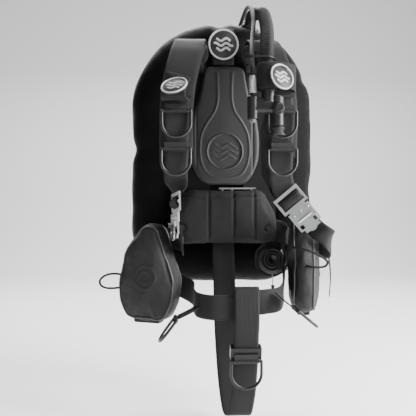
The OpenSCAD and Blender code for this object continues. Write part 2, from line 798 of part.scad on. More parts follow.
module pocket() {
  difference() {
    rotate([90, 0, 0]) linear_extrude(pocket_d) polygon(pocket_outline);
    translate([0, -pocket_wall, 0]) rotate([90, 0, 0])
      linear_extrude(pocket_d - 2 * pocket_wall) polygon(shrunk(pocket_outline, 5));
    translate([-4, -pocket_d / 2, -190]) cube([pouch_w + 3, pouch_t + 3, 60], center = true);
  }
}

module weight_pocket_l() {
  color([0.14, 0.14, 0.145]) pocket_place(-1) pocket();
}

module weight_pocket_r() {
  color([0.14, 0.14, 0.145]) pocket_place(1) pocket();
}

module pouch() {
  translate([-4 - pouch_w / 2, -pocket_d / 2 - pouch_t / 2, pouch_top - pouch_h])
    cube([pouch_w, pouch_t, pouch_h]);
  translate([-4, -pocket_d / 2, pouch_top - pouch_h - 4]) cube([pouch_w - 20, pouch_t - 12, 8], center = true);
}

module weight_pouch_l() {
  color([0.2, 0.2, 0.2]) pocket_place(-1) pouch();
}

module weight_pouch_r() {
  color([0.2, 0.2, 0.2]) pocket_place(1) pouch();
}

module pull_loop_l() {
  color([0.05, 0.05, 0.05]) hose(loop_route_l, 2.4, 8);
}

module pull_loop_r() {
  color([0.05, 0.05, 0.05]) hose(loop_route_r, 2.4, 8);
}

// ---- crotch strap
module crotch_strap() {
  color([0.1, 0.1, 0.1]) ribbon(crotch_route, [1, 0, 0], web_w, web_t);
}

// Slider that locks the doubled strap, with a lug for its ring
module crotch_slider() {
  color([0.12, 0.12, 0.12]) {
    translate(slider_pos) rotate([slider_tilt, 0, 0]) difference() {
      cube([62, 22, 24], center = true);
      cube([54, 17, 30], center = true);
    }
    translate(crotch_ring_pos) keeper();
  }
}

module crotch_ring() {
  color([0.12, 0.12, 0.12]) translate(crotch_ring_pos) d_ring();
}

wing_shell();
wing_bladder();
wing_panel();
wing_grommets();
wing_elbow();
corrugated_hose();
lp_hose();
lp_hose_end();
lp_coupling();
hose_bands();
inflator_body();
mouthpiece();
inflate_button();
inflate_spring();
deflate_button();
deflate_spring();
dump_body();
dump_cap();
dump_poppet();
dump_spring();
dump_cord();
dump_knob();
backplate();
plate_bar();
back_pad();
back_emblem();
top_handle();
top_badge();
lumbar_pad();
pad_screws();
shoulder_pad_l();
shoulder_pad_r();
shoulder_strap_l();
shoulder_strap_r();
badge_l();
badge_r();
ring_keepers();
ring_upper_l();
ring_upper_r();
ring_lower_l();
ring_lower_r();
buckle_frames();
buckle_tongues();
buckle_lever_l();
buckle_lever_r();
buckle_rivets();
lower_straps();
waist_belt_l();
waist_belt_r();
ring_waist_l();
ring_waist_r();
weight_pocket_l();
weight_pocket_r();
weight_pouch_l();
weight_pouch_r();
pull_loop_l();
pull_loop_r();
crotch_strap();
crotch_slider();
crotch_ring();
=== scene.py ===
"""Looks of a diver's buoyancy pack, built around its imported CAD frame."""

import math

import bmesh
import bpy
import numpy as np
from mathutils import Matrix, Vector, noise


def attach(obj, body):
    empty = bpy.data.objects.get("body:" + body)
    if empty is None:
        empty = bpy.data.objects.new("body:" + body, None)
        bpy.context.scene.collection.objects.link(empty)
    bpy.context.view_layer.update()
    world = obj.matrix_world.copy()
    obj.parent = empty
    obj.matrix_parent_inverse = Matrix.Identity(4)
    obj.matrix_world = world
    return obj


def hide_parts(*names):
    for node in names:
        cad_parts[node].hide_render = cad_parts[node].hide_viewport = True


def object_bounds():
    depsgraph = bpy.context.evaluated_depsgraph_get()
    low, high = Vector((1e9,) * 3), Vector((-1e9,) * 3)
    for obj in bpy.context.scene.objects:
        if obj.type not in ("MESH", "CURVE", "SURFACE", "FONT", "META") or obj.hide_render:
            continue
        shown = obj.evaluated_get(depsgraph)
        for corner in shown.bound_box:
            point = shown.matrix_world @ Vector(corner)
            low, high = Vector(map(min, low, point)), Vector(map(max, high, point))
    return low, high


bl_info = {
    "name": "Diving Buoyancy Pack",
    "version": (1, 0, 0),
    "blender": (4, 5, 0),
    "location": "View3D > Sidebar > Buoyancy Pack",
    "description": "Builds the fabric, webbing, hoses and fittings of a diving buoyancy pack",
    "category": "Add Mesh",
}

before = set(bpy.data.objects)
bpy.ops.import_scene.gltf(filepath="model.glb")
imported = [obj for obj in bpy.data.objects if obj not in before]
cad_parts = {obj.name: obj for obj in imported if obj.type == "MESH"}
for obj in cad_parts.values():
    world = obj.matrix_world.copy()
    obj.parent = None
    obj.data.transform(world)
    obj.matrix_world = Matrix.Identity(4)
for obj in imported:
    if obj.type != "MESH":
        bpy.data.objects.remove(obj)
CAD_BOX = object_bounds()
ROOT = "pack"
MM = 0.001
TURN = 2 * math.pi


# ---- plain geometry

def mm(points):
    """A list of points in millimetres, as an array in metres."""
    return np.array(points, float) * MM


def unit(v):
    """Unit vectors along the last axis."""
    v = np.asarray(v, float)
    return v / np.maximum(np.linalg.norm(v, axis=-1, keepdims=True), 1e-12)


def resample(values, keys, at):
    """Values given at keys, read at other places, column by column."""
    values = np.asarray(values, float)
    return np.stack([np.interp(at, keys, values[:, k]) for k in range(values.shape[1])], axis=1)


def smooth_route(points, step):
    """Points about a step apart on a smooth curve through the given ones, and the share of each."""
    p = np.asarray(points, float)
    ends = np.vstack([2 * p[0] - p[1], p, 2 * p[-1] - p[-2]])
    fine, share = [], []
    for i in range(len(p) - 1):
        a, b, c, d = ends[i:i + 4]
        ka = max(np.linalg.norm(b - a), 1e-9) ** 0.5
        kb = max(np.linalg.norm(c - b), 1e-9) ** 0.5
        kc = max(np.linalg.norm(d - c), 1e-9) ** 0.5
        into = kb * ((b - a) / ka - (c - a) / (ka + kb) + (c - b) / kb)
        out = kb * ((c - b) / kb - (d - b) / (kb + kc) + (d - c) / kc)
        for t in np.linspace(0, 1, 16, endpoint=False):
            h = (2 * t**3 - 3 * t**2 + 1, t**3 - 2 * t**2 + t, -2 * t**3 + 3 * t**2, t**3 - t**2)
            fine.append(h[0] * b + h[1] * into + h[2] * c + h[3] * out)
            share.append(i + t)
    fine.append(p[-1])
    share.append(len(p) - 1)
    fine, share = np.array(fine), np.array(share)
    run = np.concatenate([[0], np.cumsum(np.linalg.norm(np.diff(fine, axis=0), axis=1))])
    count = max(3, int(round(run[-1] / step)) + 1)
    at = np.linspace(0, run[-1], count)
    return resample(fine, run, at), np.interp(at, run, share), at


def route_frames(points, side, share):
    """Width direction and face normal at each point, from the side directions of the route's keys."""
    side = np.asarray(side, float)
    if side.ndim == 2:
        side = resample(side, np.arange(len(side)), share)
    else:
        side = np.repeat(side[None, :], len(points), axis=0)
    t = unit(np.gradient(points, axis=0))
    s = unit(side - t * np.sum(side * t, axis=1, keepdims=True))
    return s, unit(np.cross(s, t))


def linked(name, data):
    """A new object for a mesh, lamp or camera, in the scene."""
    obj = bpy.data.objects.new(name, data)
    bpy.context.scene.collection.objects.link(obj)
    return obj


def released(name, bm):
    """The edited form as a new object."""
    mesh = bpy.data.meshes.new(name)
    bm.to_mesh(mesh)
    bm.free()
    return linked(name, mesh)


def mesh_object(name, verts, faces, uvs=None, smooth=True):
    """A new object at the origin from vertices and faces, with one UV pair per vertex if given."""
    mesh = bpy.data.meshes.new(name)
    mesh.from_pydata([tuple(v) for v in verts], [], faces)
    if uvs is not None:
        layer = mesh.uv_layers.new(name="UVMap")
        loops = np.zeros(len(mesh.loops), np.int32)
        mesh.loops.foreach_get("vertex_index", loops)
        layer.data.foreach_set("uv", np.asarray(uvs, np.float32)[loops].ravel())
    mesh.polygons.foreach_set("use_smooth", [smooth] * len(mesh.polygons))
    mesh.update()
    return linked(name, mesh)


def outward(obj, merge=1e-6):
    """Merges doubles and turns every face outwards."""
    bm = bmesh.new()
    bm.from_mesh(obj.data)
    if merge:
        bmesh.ops.remove_doubles(bm, verts=bm.verts, dist=merge)
    bmesh.ops.recalc_face_normals(bm, faces=bm.faces)
    bm.to_mesh(obj.data)
    bm.free()
    return obj


def loft(rings, closed=False):
    """Vertices and faces of a skin over rings that have the same number of points each."""
    rings = np.asarray(rings, float)
    rows, cols = rings.shape[:2]
    verts = rings.reshape(-1, 3)
    faces = []
    for i in range(rows if closed else rows - 1):
        a, b = i * cols, ((i + 1) % rows) * cols
        for j in range(cols):
            k = (j + 1) % cols
            faces.append((a + j, a + k, b + k, b + j))
    if not closed:
        faces.append(tuple(range(cols - 1, -1, -1)))
        faces.append(tuple((rows - 1) * cols + j for j in range(cols)))
    return verts, faces


def skin(name, rings, closed=False):
    """A solid over rings of points; closed when the last ring meets the first."""
    return outward(mesh_object(name, *loft(rings, closed)))


def swept(name, route, side, section, step=3 * MM, lift=0.0, round_ends=0.0):
    """A solid swept along a route; section is its loop of (across, out) points."""
    points, share, run = smooth_route(route, step)
    s, n = route_frames(points, side, share)
    rings, uvs = [], []
    for i, r in enumerate(run):
        loop = section
        edge = min(r, run[-1] - r)
        if round_ends and edge < round_ends:
            q = 1 - edge / round_ends
            loop = section * np.array([1 - 0.18 * q * q, math.sqrt(max(1 - q * q, 0.04))])
        rings.append(points[i] + loop[:, :1] * s[i] + (loop[:, 1:] + lift) * n[i])
        uvs.extend([(u, r) for u in loop[:, 0]])
    return outward(mesh_object(name, *loft(rings), uvs), 0)


def strap_section(width, thick, rows=9):
    """Flat woven webbing: a thin loop with rounded, slightly fuller selvedges."""
    u = np.linspace(-1, 1, rows)
    edge = np.clip((np.abs(u) - 0.9) / 0.1, 0, 1)
    v = thick / 2 * (1 + 0.18 * (np.abs(u) > 0.8) - 0.75 * edge**2)
    top = np.stack([u * width / 2, v], axis=1)
    low = np.stack([u[::-1] * width / 2, -v[::-1]], axis=1)
    return np.vstack([top, low])


def strap(name, route, side, width, thick, step=3 * MM):
    """A length of webbing along a route, its UV map in metres across and along."""
    return swept(name, route, side, strap_section(width, thick), step)


def pad_section(width, thick, rows=15, power=3.2):
    """A padded strip: flat in the middle, closing to a bound edge."""
    u = np.sin(np.linspace(-math.pi / 2, math.pi / 2, rows))
    v = thick / 2 * np.maximum(1 - np.abs(u) ** power, 0) ** (1 / 2.2) + 0.6 * MM
    top = np.stack([u * width / 2, v], axis=1)
    low = np.stack([u[::-1] * width / 2, -v[::-1]], axis=1)
    return np.vstack([top, low])


def round_section(radius, sides=12):
    """A circle as a section loop."""
    a = np.linspace(0, TURN, sides, endpoint=False)
    return np.stack([np.cos(a) * radius, np.sin(a) * radius], axis=1)


def tube(name, route, radius, step, sides):
    """A round tube along a route."""
    return swept(name, route, (1, 0.01, 0), round_section(radius, sides), step)


def profile_rings(profile, sides):
    """Rings about local Z, one for each (radius, height)."""
    return np.array([np.hstack([round_section(r, sides), np.full((sides, 1), z)])
                     for r, z in profile])


def lathe(name, profile, sides, place, closed=False):
    """A shape turned about local Z from (radius, height) points, put in place."""
    obj = skin(name, profile_rings(profile, sides), closed)
    obj.data.transform(place)
    return obj


def join(name, objs):
    """Several mesh objects as one, at the origin."""
    bm = bmesh.new()
    for o in objs:
        bm.from_mesh(o.data)
        bpy.data.objects.remove(o)
    return released(name, bm)


def applied(obj):
    """Turns the object's modifiers into its mesh."""
    dg = bpy.context.evaluated_depsgraph_get()
    mesh = bpy.data.meshes.new_from_object(obj.evaluated_get(dg), depsgraph=dg)
    obj.modifiers.clear()
    obj.data = mesh
    return obj


def fused(name, objs, voxel, rounds=4):
    """Several solids fused into one moulding with soft fillets."""
    obj = join(name, objs)
    remesh = obj.modifiers.new("fuse", "REMESH")
    remesh.mode = "VOXEL"
    remesh.voxel_size = voxel
    remesh.use_smooth_shade = True
    smooth = obj.modifiers.new("ease", "SMOOTH")
    smooth.iterations = rounds
    smooth.factor = 0.5
    return applied(obj)


def block(size, place, bevel):
    """A box with rounded edges."""
    bm = bmesh.new()
    bmesh.ops.create_cube(bm, size=1.0)
    bmesh.ops.scale(bm, verts=bm.verts, vec=size)
    bmesh.ops.bevel(bm, geom=bm.edges[:], offset=bevel, segments=3, affect="EDGES", profile=0.7)
    bmesh.ops.transform(bm, matrix=place, verts=bm.verts)
    return released("block", bm)


def rod(radius, start, end, bevel=0.6 * MM):
    """A cylinder with eased rims from start to end."""
    start, end = Vector(start), Vector(end)
    h = (end - start).length
    turn = (end - start).to_track_quat("Z", "Y").to_matrix().to_4x4()
    profile = [(radius - bevel, 0), (radius, bevel), (radius, h - bevel), (radius - bevel, h)]
    return lathe("rod", profile, 32, Matrix.Translation(start) @ turn)


def tilted(at, *turns):
    """A place: a position, then turns of (degrees, axis), outermost first."""
    place = Matrix.Translation(at)
    for degrees, axis in turns:
        place = place @ Matrix.Rotation(math.radians(degrees), 4, axis)
    return place


def closed_outline(points, count, radius):
    """An even loop round a polygon's corners, eased by a radius."""
    p = np.asarray(points, float)
    loop = []
    for i in range(len(p)):
        a, b, c = p[i - 1], p[i], p[(i + 1) % len(p)]
        r = min(radius, np.linalg.norm(a - b) * 0.45, np.linalg.norm(c - b) * 0.45)
        start, end = b + unit(a - b) * r, b + unit(c - b) * r
        for t in np.linspace(0, 1, 8):
            loop.append((1 - t) ** 2 * start + 2 * t * (1 - t) * b + t**2 * end)
    loop = np.vstack([loop, loop[:1]])
    run = np.concatenate([[0], np.cumsum(np.linalg.norm(np.diff(loop, axis=0), axis=1))])
    return resample(loop, run, np.linspace(0, run[-1], count, endpoint=False))


def puff(name, outline, centre, back, front, edge, rings, relief=None):
    """A pad over an eased outline in local X-Z: back and front are depths along -Y, edge is the
    width over which it rounds off, relief(x, z) adds to the front's height."""
    outline, centre = np.asarray(outline, float), np.asarray(centre, float)
    reach = np.linalg.norm(outline - centre, axis=1)
    middle, half = (front + back) / 2, (front - back) / 2
    inner = np.linspace(0.02, 1, rings) ** 0.8
    loops = []
    for side in (1, -1):
        for s in inner if side > 0 else inner[::-1][1:]:
            xz = centre + (outline - centre) * s
            from_edge = reach * (1 - s)
            q = np.clip(1 - from_edge / edge, 0, 1)
            h = half * np.sqrt(np.maximum(1 - q**2.4, 0))
            if relief is not None and side > 0:
                h = h + relief(xz[:, 0], xz[:, 1]) * np.clip(from_edge / edge, 0, 1)
            loops.append(np.stack([xz[:, 0], -(middle + side * h), xz[:, 1]], axis=1))
    return skin(name, loops)


def inflate(obj, voxel, pressure, cap):
    """Swells a closed fabric form by a short cloth run, each point moving no further than cap."""
    remesh = obj.modifiers.new("even", "REMESH")
    remesh.mode = "VOXEL"
    remesh.voxel_size = voxel
    applied(obj)
    start = np.array([v.co for v in obj.data.vertices])
    cloth = obj.modifiers.new("cloth", "CLOTH")
    cloth.settings.quality = 5
    cloth.settings.mass = 0.3
    cloth.settings.tension_stiffness = 12
    cloth.settings.compression_stiffness = 12
    cloth.settings.bending_stiffness = 0.4
    cloth.settings.use_pressure = True
    cloth.settings.uniform_pressure_force = pressure
    cloth.settings.effector_weights.gravity = 0
    cloth.collision_settings.use_collision = False
    cloth.point_cache.frame_start = 1
    cloth.point_cache.frame_end = 20
    scene = bpy.context.scene
    for step in range(1, 21):
        scene.frame_set(step)
    applied(obj)
    scene.frame_set(1)
    moved = np.array([v.co for v in obj.data.vertices]) - start
    length = np.linalg.norm(moved, axis=1, keepdims=True)
    moved *= np.minimum(1, cap / np.maximum(length, 1e-9))
    obj.data.vertices.foreach_set("co", (start + moved).astype(np.float32).ravel())
    relax = obj.modifiers.new("relax", "SMOOTH")
    relax.iterations = 3
    finer = obj.modifiers.new("finer", "SUBSURF")
    finer.levels = 1
    finer.render_levels = 1
    applied(obj)
    obj.data.shade_smooth()
    return obj


def reshape(obj, move):
    """Moves every vertex by move(points, normals), which gives offsets."""
    count = len(obj.data.vertices)
    co, no = np.zeros(count * 3, np.float32), np.zeros(count * 3, np.float32)
    obj.data.vertices.foreach_get("co", co)
    obj.data.vertices.foreach_get("normal", no)
    co, no = co.reshape(-1, 3).astype(float), no.reshape(-1, 3).astype(float)
    co = co + move(co, no)
    obj.data.vertices.foreach_set("co", co.astype(np.float32).ravel())
    obj.data.update()
    return obj


def ripples(points, scale, seed=0.0):
    """Smooth noise from -1 to 1 at each point."""
    return np.array([noise.noise(Vector(p * scale) + Vector((seed, 0, 0))) for p in points])


# ---- geometry node trees

class Nodes:
    """Adds nodes to a tree: settings first, then the sockets' values or links."""

    def __init__(self, tree):
        self.tree = tree

    def add(self, kind, settings=None, values=None):
        node = self.tree.nodes.new(kind)
        for key, value in (settings or {}).items():
            setattr(node, key, value)
        for key, value in (values or {}).items():
            if isinstance(value, bpy.types.NodeSocket):
                self.tree.links.new(value, node.inputs[key])
            else:
                node.inputs[key].default_value = value
        return node


def new_tree(name, inputs):
    """A geometry node group with a geometry input and the named sockets."""
    tree = bpy.data.node_groups.new(name, "GeometryNodeTree")
    tree.interface.new_socket("Geometry", in_out="INPUT", socket_type="NodeSocketGeometry")
    for label, kind in inputs:
        tree.interface.new_socket(label, in_out="INPUT", socket_type=kind)
    tree.interface.new_socket("Geometry", in_out="OUTPUT", socket_type="NodeSocketGeometry")
    nodes = Nodes(tree)
    return tree, nodes, nodes.add("NodeGroupInput").outputs


def close_tree(nodes, geometry, material):
    """Realises the instances, sets the material and ends the tree."""
    real = nodes.add("GeometryNodeRealizeInstances", {}, {"Geometry": geometry}).outputs[0]
    soft = nodes.add("GeometryNodeSetShadeSmooth", {}, {"Geometry": real}).outputs[0]
    done = nodes.add("GeometryNodeSetMaterial", {}, {"Geometry": soft, "Material": material})
    nodes.add("NodeGroupOutput", {}, {"Geometry": done.outputs[0]})


def along_line(nodes, given):
    """The curve of a polyline mesh, places on it at the pitch, and the turn that follows it."""
    curve = nodes.add("GeometryNodeMeshToCurve", {}, {"Mesh": given["Geometry"]}).outputs[0]
    places = nodes.add("GeometryNodeResampleCurve", {"mode": "LENGTH"},
                       {"Curve": curve, "Length": given["Pitch"]}).outputs[0]
    heading = nodes.add("GeometryNodeInputTangent").outputs[0]
    turn = nodes.add("FunctionNodeAlignRotationToVector", {"axis": "Z"}, {"Vector": heading})
    return curve, places, turn.outputs[0]


def stitch_tree():
    """Short thread beads along the edges of a polyline mesh."""
    tree, nodes, given = new_tree("stitch run", [
        ("Pitch", "NodeSocketFloat"), ("Bead Length", "NodeSocketFloat"),
        ("Thread Radius", "NodeSocketFloat"), ("Material", "NodeSocketMaterial")])
    places, turn = along_line(nodes, given)[1:]
    bead = nodes.add("GeometryNodeMeshUVSphere", {}, {"Segments": 6, "Rings": 4, "Radius": 1.0})
    size = nodes.add("ShaderNodeCombineXYZ", {}, {
        "X": given["Thread Radius"], "Y": given["Thread Radius"], "Z": given["Bead Length"]})
    beads = nodes.add("GeometryNodeInstanceOnPoints", {}, {
        "Points": places, "Instance": bead.outputs[0], "Rotation": turn,
        "Scale": size.outputs[0]}).outputs[0]
    close_tree(nodes, beads, given["Material"])
    return tree


def rib_tree():
    """A hose core along a polyline mesh with raised rings at an even pitch."""
    tree, nodes, given = new_tree("ribbed hose", [
        ("Pitch", "NodeSocketFloat"), ("Hose Radius", "NodeSocketFloat"),
        ("Rib Radius", "NodeSocketFloat"), ("Material", "NodeSocketMaterial")])
    curve, places, turn = along_line(nodes, given)

    def circle(resolution, radius):
        return nodes.add("GeometryNodeCurvePrimitiveCircle", {},
                         {"Resolution": resolution, "Radius": radius}).outputs[0]

    def less_rib(radius):
        return nodes.add("ShaderNodeMath", {"operation": "SUBTRACT"},
                         {0: radius, 1: given["Rib Radius"]}).outputs[0]

    wide = less_rib(given["Hose Radius"])
    rib = nodes.add("GeometryNodeCurveToMesh", {}, {
        "Curve": circle(28, wide), "Profile Curve": circle(8, given["Rib Radius"])})
    ribs = nodes.add("GeometryNodeInstanceOnPoints", {}, {
        "Points": places, "Instance": rib.outputs[0], "Rotation": turn}).outputs[0]
    core = nodes.add("GeometryNodeCurveToMesh", {}, {
        "Curve": curve, "Profile Curve": circle(28, less_rib(wide)), "Fill Caps": True})
    both = nodes.add("GeometryNodeJoinGeometry")
    nodes.tree.links.new(ribs, both.inputs[0])
    nodes.tree.links.new(core.outputs[0], both.inputs[0])
    close_tree(nodes, both.outputs[0], given["Material"])
    return tree


def grown(name, lines, tree, values):
    """A plain mesh grown by a node tree on polylines, its modifier removed."""
    verts, edges = [], []
    for line in lines:
        base = len(verts)
        verts.extend([tuple(p) for p in line])
        edges.extend([(base + i, base + i + 1) for i in range(len(line) - 1)])
    mesh = bpy.data.meshes.new(name)
    mesh.from_pydata(verts, edges, [])
    obj = linked(name, mesh)
    growth = obj.modifiers.new(tree.name, "NODES")
    growth.node_group = tree
    for item in tree.interface.items_tree:
        if item.in_out == "INPUT" and item.name in values:
            growth[item.identifier] = values[item.name]
    return applied(obj)


# ---- shader maths

def arithmetic(operation, flip=False):
    """An arithmetic method of Field."""
    return lambda self, other: self.math(operation, other, flip)


class Field:
    """A shader socket that takes part in arithmetic."""

    def __init__(self, shader, socket):
        self.shader, self.socket = shader, socket

    def math(self, operation, other=None, flip=False):
        pair = [other, self] if flip else [self, other]
        values = {i: v for i, v in enumerate(pair) if v is not None}
        return self.shader.node("ShaderNodeMath", {"operation": operation}, values)

    __add__ = arithmetic("ADD")
    __radd__ = arithmetic("ADD", True)
    __sub__ = arithmetic("SUBTRACT")
    __mul__ = arithmetic("MULTIPLY")

    def sine(self):
        return self.math("SINE")

    def absolute(self):
        return self.math("ABSOLUTE")

    def clamped(self):
        return self.math("MAXIMUM", 0.0).math("MINIMUM", 1.0)


class Shader:
    """One material and the nodes that make it."""

    def __init__(self, name):
        self.material = bpy.data.materials.new(name)
        self.material.use_nodes = True
        self.tree = self.material.node_tree
        self.tree.nodes.clear()
        self.surface = self.tree.nodes.new("ShaderNodeBsdfPrincipled")
        out = self.tree.nodes.new("ShaderNodeOutputMaterial")
        self.tree.links.new(self.surface.outputs[0], out.inputs[0])

    def node(self, kind, settings=None, values=None, output=0):
        node = self.tree.nodes.new(kind)
        for key, value in (settings or {}).items():
            setattr(node, key, value)
        for key, value in (values or {}).items():
            self.fill(node.inputs[key], value)
        return Field(self, node.outputs[output])

    def fill(self, socket, value):
        if isinstance(value, Field):
            self.tree.links.new(value.socket, socket)
        elif socket.type == "RGBA" and len(value) == 3:
            socket.default_value = (*value, 1.0)
        else:
            socket.default_value = value

    def place(self):
        return self.node("ShaderNodeTexCoord", {}, {}, "Object")

    def uv(self):
        return self.parts(self.node("ShaderNodeUVMap", {"uv_map": "UVMap"}))[:2]

    def parts(self, vector):
        split = self.tree.nodes.new("ShaderNodeSeparateXYZ")
        self.tree.links.new(vector.socket, split.inputs[0])
        return [Field(self, split.outputs[k]) for k in range(3)]

    def noise(self, scale, detail=3.0, rough=0.5, vector=None):
        return self.node("ShaderNodeTexNoise", {}, {
            "Vector": vector or self.place(), "Scale": scale, "Detail": detail,
            "Roughness": rough}, "Fac")

    def stretched(self, x, y, z):
        return self.node("ShaderNodeMapping", {}, {"Vector": self.place(), "Scale": (x, y, z)})

    def blend(self, factor, low, high):
        mixed = self.tree.nodes.new("ShaderNodeMix")
        mixed.data_type = "RGBA"
        self.fill(mixed.inputs["Factor"], factor)
        self.fill(mixed.inputs[6], low)
        self.fill(mixed.inputs[7], high)
        return Field(self, mixed.outputs[2])

    def bump(self, height, distance, strength=1.0):
        return self.node("ShaderNodeBump", {}, {
            "Height": height, "Distance": distance, "Strength": strength})

    def finish(self, **values):
        for key, value in values.items():
            self.fill(self.surface.inputs[key.replace("_", " ")], value)
        return self.material


def scaled(colour, factor):
    """A colour made lighter or darker."""
    return tuple(min(c * factor, 1.0) for c in colour)


WEAVE_PITCH = 1.7 * MM


def webbing_finish(name, colour):
    """Flat woven nylon: ribs along the strap, a herringbone across, duller and paler selvedges."""
    s = Shader(name)
    u, v = s.uv()
    slant = (u * (TURN / (6 * WEAVE_PITCH))).sine().absolute()
    pick = ((v + slant * (2.2 * MM)) * (TURN / WEAVE_PITCH)).sine()
    rib = (u * (TURN / (1.5 * WEAVE_PITCH))).sine()
    cloth = pick * 0.6 + rib * 0.4
    fuzz = s.noise(900.0, 2.0)
    worn = s.noise(30.0, 4.0)
    tone = ((cloth * 0.25 + 0.5) * 0.6 + worn * 0.5).clamped()
    edge = (u.absolute() * 40.0 - 0.86).clamped()
    base = s.blend(tone, scaled(colour, 0.55), scaled(colour, 1.7))
    return s.finish(
        Base_Color=s.blend(edge, base, scaled(colour, 2.0)),
        Roughness=0.6 + worn * 0.2, Specular_IOR_Level=0.28,
        Sheen_Weight=0.03, Sheen_Roughness=0.5,
        Normal=s.bump(cloth + fuzz * 0.5, 0.35 * MM, 0.9))


def woven_finish(name, colour, pitch, gloss=0.5, depth=0.25, shine=0.25, sheen=0.02):
    """Plain-woven nylon cloth with a slight shine, uneven tone and a soft grain."""
    s = Shader(name)
    x, y, z = s.parts(s.place())
    step = TURN / pitch
    over = ((x + y * 0.6) * step).sine()
    under = ((z - y * 0.35) * step).sine()
    cloth = over * under
    grain = s.noise(500.0, 3.0)
    patch = s.noise(14.0, 4.0, 0.6)
    tone = (cloth * 0.2 + patch * 0.9 + grain * 0.2 - 0.1).clamped()
    return s.finish(
        Base_Color=s.blend(tone, scaled(colour, 0.6), scaled(colour, 1.6)),
        Roughness=gloss + patch * 0.2, Specular_IOR_Level=shine,
        Sheen_Weight=sheen, Sheen_Roughness=0.35,
        Normal=s.bump(cloth * 0.7 + grain * 0.6, depth * MM, 0.8))


def mesh_finish(name, colour):
    """Open spacer mesh: small round cells over a darker foam."""
    s = Shader(name)
    cells = s.node("ShaderNodeTexVoronoi", {"feature": "F1"}, {
        "Vector": s.place(), "Scale": 520.0}, "Distance")
    patch = s.noise(18.0, 4.0, 0.6)
    hole = (cells * 1.7).clamped()
    tone = (hole * 0.6 + patch * 0.6 - 0.1).clamped()
    return s.finish(
        Base_Color=s.blend(tone, scaled(colour, 0.5), scaled(colour, 1.6)),
        Roughness=0.7 + patch * 0.2, Specular_IOR_Level=0.2,
        Sheen_Weight=0.03, Sheen_Roughness=0.6,
        Normal=s.bump(hole + patch * 0.4, 0.5 * MM, 0.8))


def moulded_finish(name, colour, rough=0.45, grain=1400.0, depth=0.12, coat=0.0):
    """Moulded rubber or plastic: a fine spark grain, scuffed and uneven in gloss."""
    s = Shader(name)
    fine = s.noise(grain, 2.0)
    scuff = s.noise(45.0, 5.0, 0.65)
    rub = s.noise(6.0, 3.0, vector=s.stretched(9.0, 9.0, 1.5))
    tone = (scuff * 0.7 + rub * 0.5 - 0.1).clamped()
    return s.finish(
        Base_Color=s.blend(tone, scaled(colour, 0.7), scaled(colour, 1.4)),
        Roughness=rough - 0.1 + scuff * 0.3, Specular_IOR_Level=0.35,
        Coat_Weight=coat, Coat_Roughness=0.25,
        Normal=s.bump(fine + scuff * 0.5, depth * MM, 0.7))


def steel_finish(name, colour, rough=0.24, brush=(4.0, 4.0, 320.0)):
    """Brushed stainless steel with hairlines, fine scratches and a few dull spots."""
    s = Shader(name)
    hair = s.noise(5.0, 4.0, 0.7, s.stretched(*brush))
    scratch = s.noise(700.0, 2.0)
    spot = s.noise(60.0, 4.0, 0.6)
    tone = (hair * 0.5 + spot * 0.6 - 0.05).clamped()
    return s.finish(
        Base_Color=s.blend(tone, scaled(colour, 0.72), scaled(colour, 1.15)),
        Metallic=1.0,
        Roughness=rough + hair * 0.12 + spot * 0.14,
        Normal=s.bump(hair * 0.6 + scratch * 0.25, 0.05 * MM, 0.6))


def knurl_finish(name, colour, axis_x, axis_y):
    """Bright steel with a fine crossed knurl round an upright axis."""
    s = Shader(name)
    x, y, z = s.parts(s.place())
    angle = (y - axis_y).math("ARCTAN2", x - axis_x)
    one = ((angle * 16.0) + (z * 1500.0)).sine()
    two = ((angle * 16.0) - (z * 1500.0)).sine()
    wear = s.noise(90.0, 3.0)
    ridge = one.math("MAXIMUM", two)
    return s.finish(
        Base_Color=s.blend((ridge * 0.4 + wear * 0.6).clamped(), scaled(colour, 0.4), colour),
        Metallic=1.0, Roughness=0.2 + wear * 0.25,
        Normal=s.bump(ridge, 0.5 * MM, 0.9))


def braid_finish(name, colour):
    """Braided cord: crossing strands that follow the cord's own map."""
    s = Shader(name)
    u, v = s.uv()
    one = ((v * 2600.0) + (u * 900.0)).sine()
    two = ((v * 2600.0) - (u * 900.0)).sine()
    braid = one.math("MAXIMUM", two)
    wear = s.noise(80.0, 3.0)
    tone = (braid * 0.35 + wear * 0.6).clamped()
    return s.finish(
        Base_Color=s.blend(tone, scaled(colour, 0.5), scaled(colour, 1.5)),
        Roughness=0.6 + wear * 0.2, Specular_IOR_Level=0.3,
        Normal=s.bump(braid, 0.3 * MM, 0.8))


# ---- the object's own sizes, repeated from the CAD model, and its soft shapes

CELL_Y = 0.030
ARCH_R, ARCH_Z = 0.1535, 0.090
CORNER_R, CORNER_X, CORNER_Z = 0.070, 0.0835, -0.180
CELL_HALF_W, CELL_HALF_T = 0.0575, 0.042
WEB_W, WEB_T = 50 * MM, 2.5 * MM
LOWER_W, TAIL_W, TAB_W = 40 * MM, 30 * MM, 44 * MM
PAD_W, PAD_T = 70 * MM, 12.5 * MM
COVER_W, COVER_T = 66 * MM, 4.5 * MM
FLAP_W, FLAP_T = 52 * MM, 3 * MM
HOSE_R, RIB_R, LP_HOSE_R = 14.8 * MM, 1.8 * MM, 4.8 * MM
PULL_CORD, LOOP_CORD = 2 * MM, 4.8 * MM
STRAP_TOP = mm([
    (-72, -30, 172), (-72, -36, 196), (-73, -54, 217), (-78, -80, 225), (-86, -106, 204),
    (-95, -127, 170), (-103, -142, 132), (-108, -149, 92), (-110, -149, 56), (-110, -146, 10),
    (-110, -141, -30), (-111, -134, -72)])
STRAP_END_L = mm([(-107.6, -130.8, -90), (-107.5, -130.8, -108), (-106.8, -133.3, -133.8)])
STRAP_END_R = mm([(116.8, -127.9, -91), (122.1, -129.2, -107.1), (138.3, -133.3, -127)])
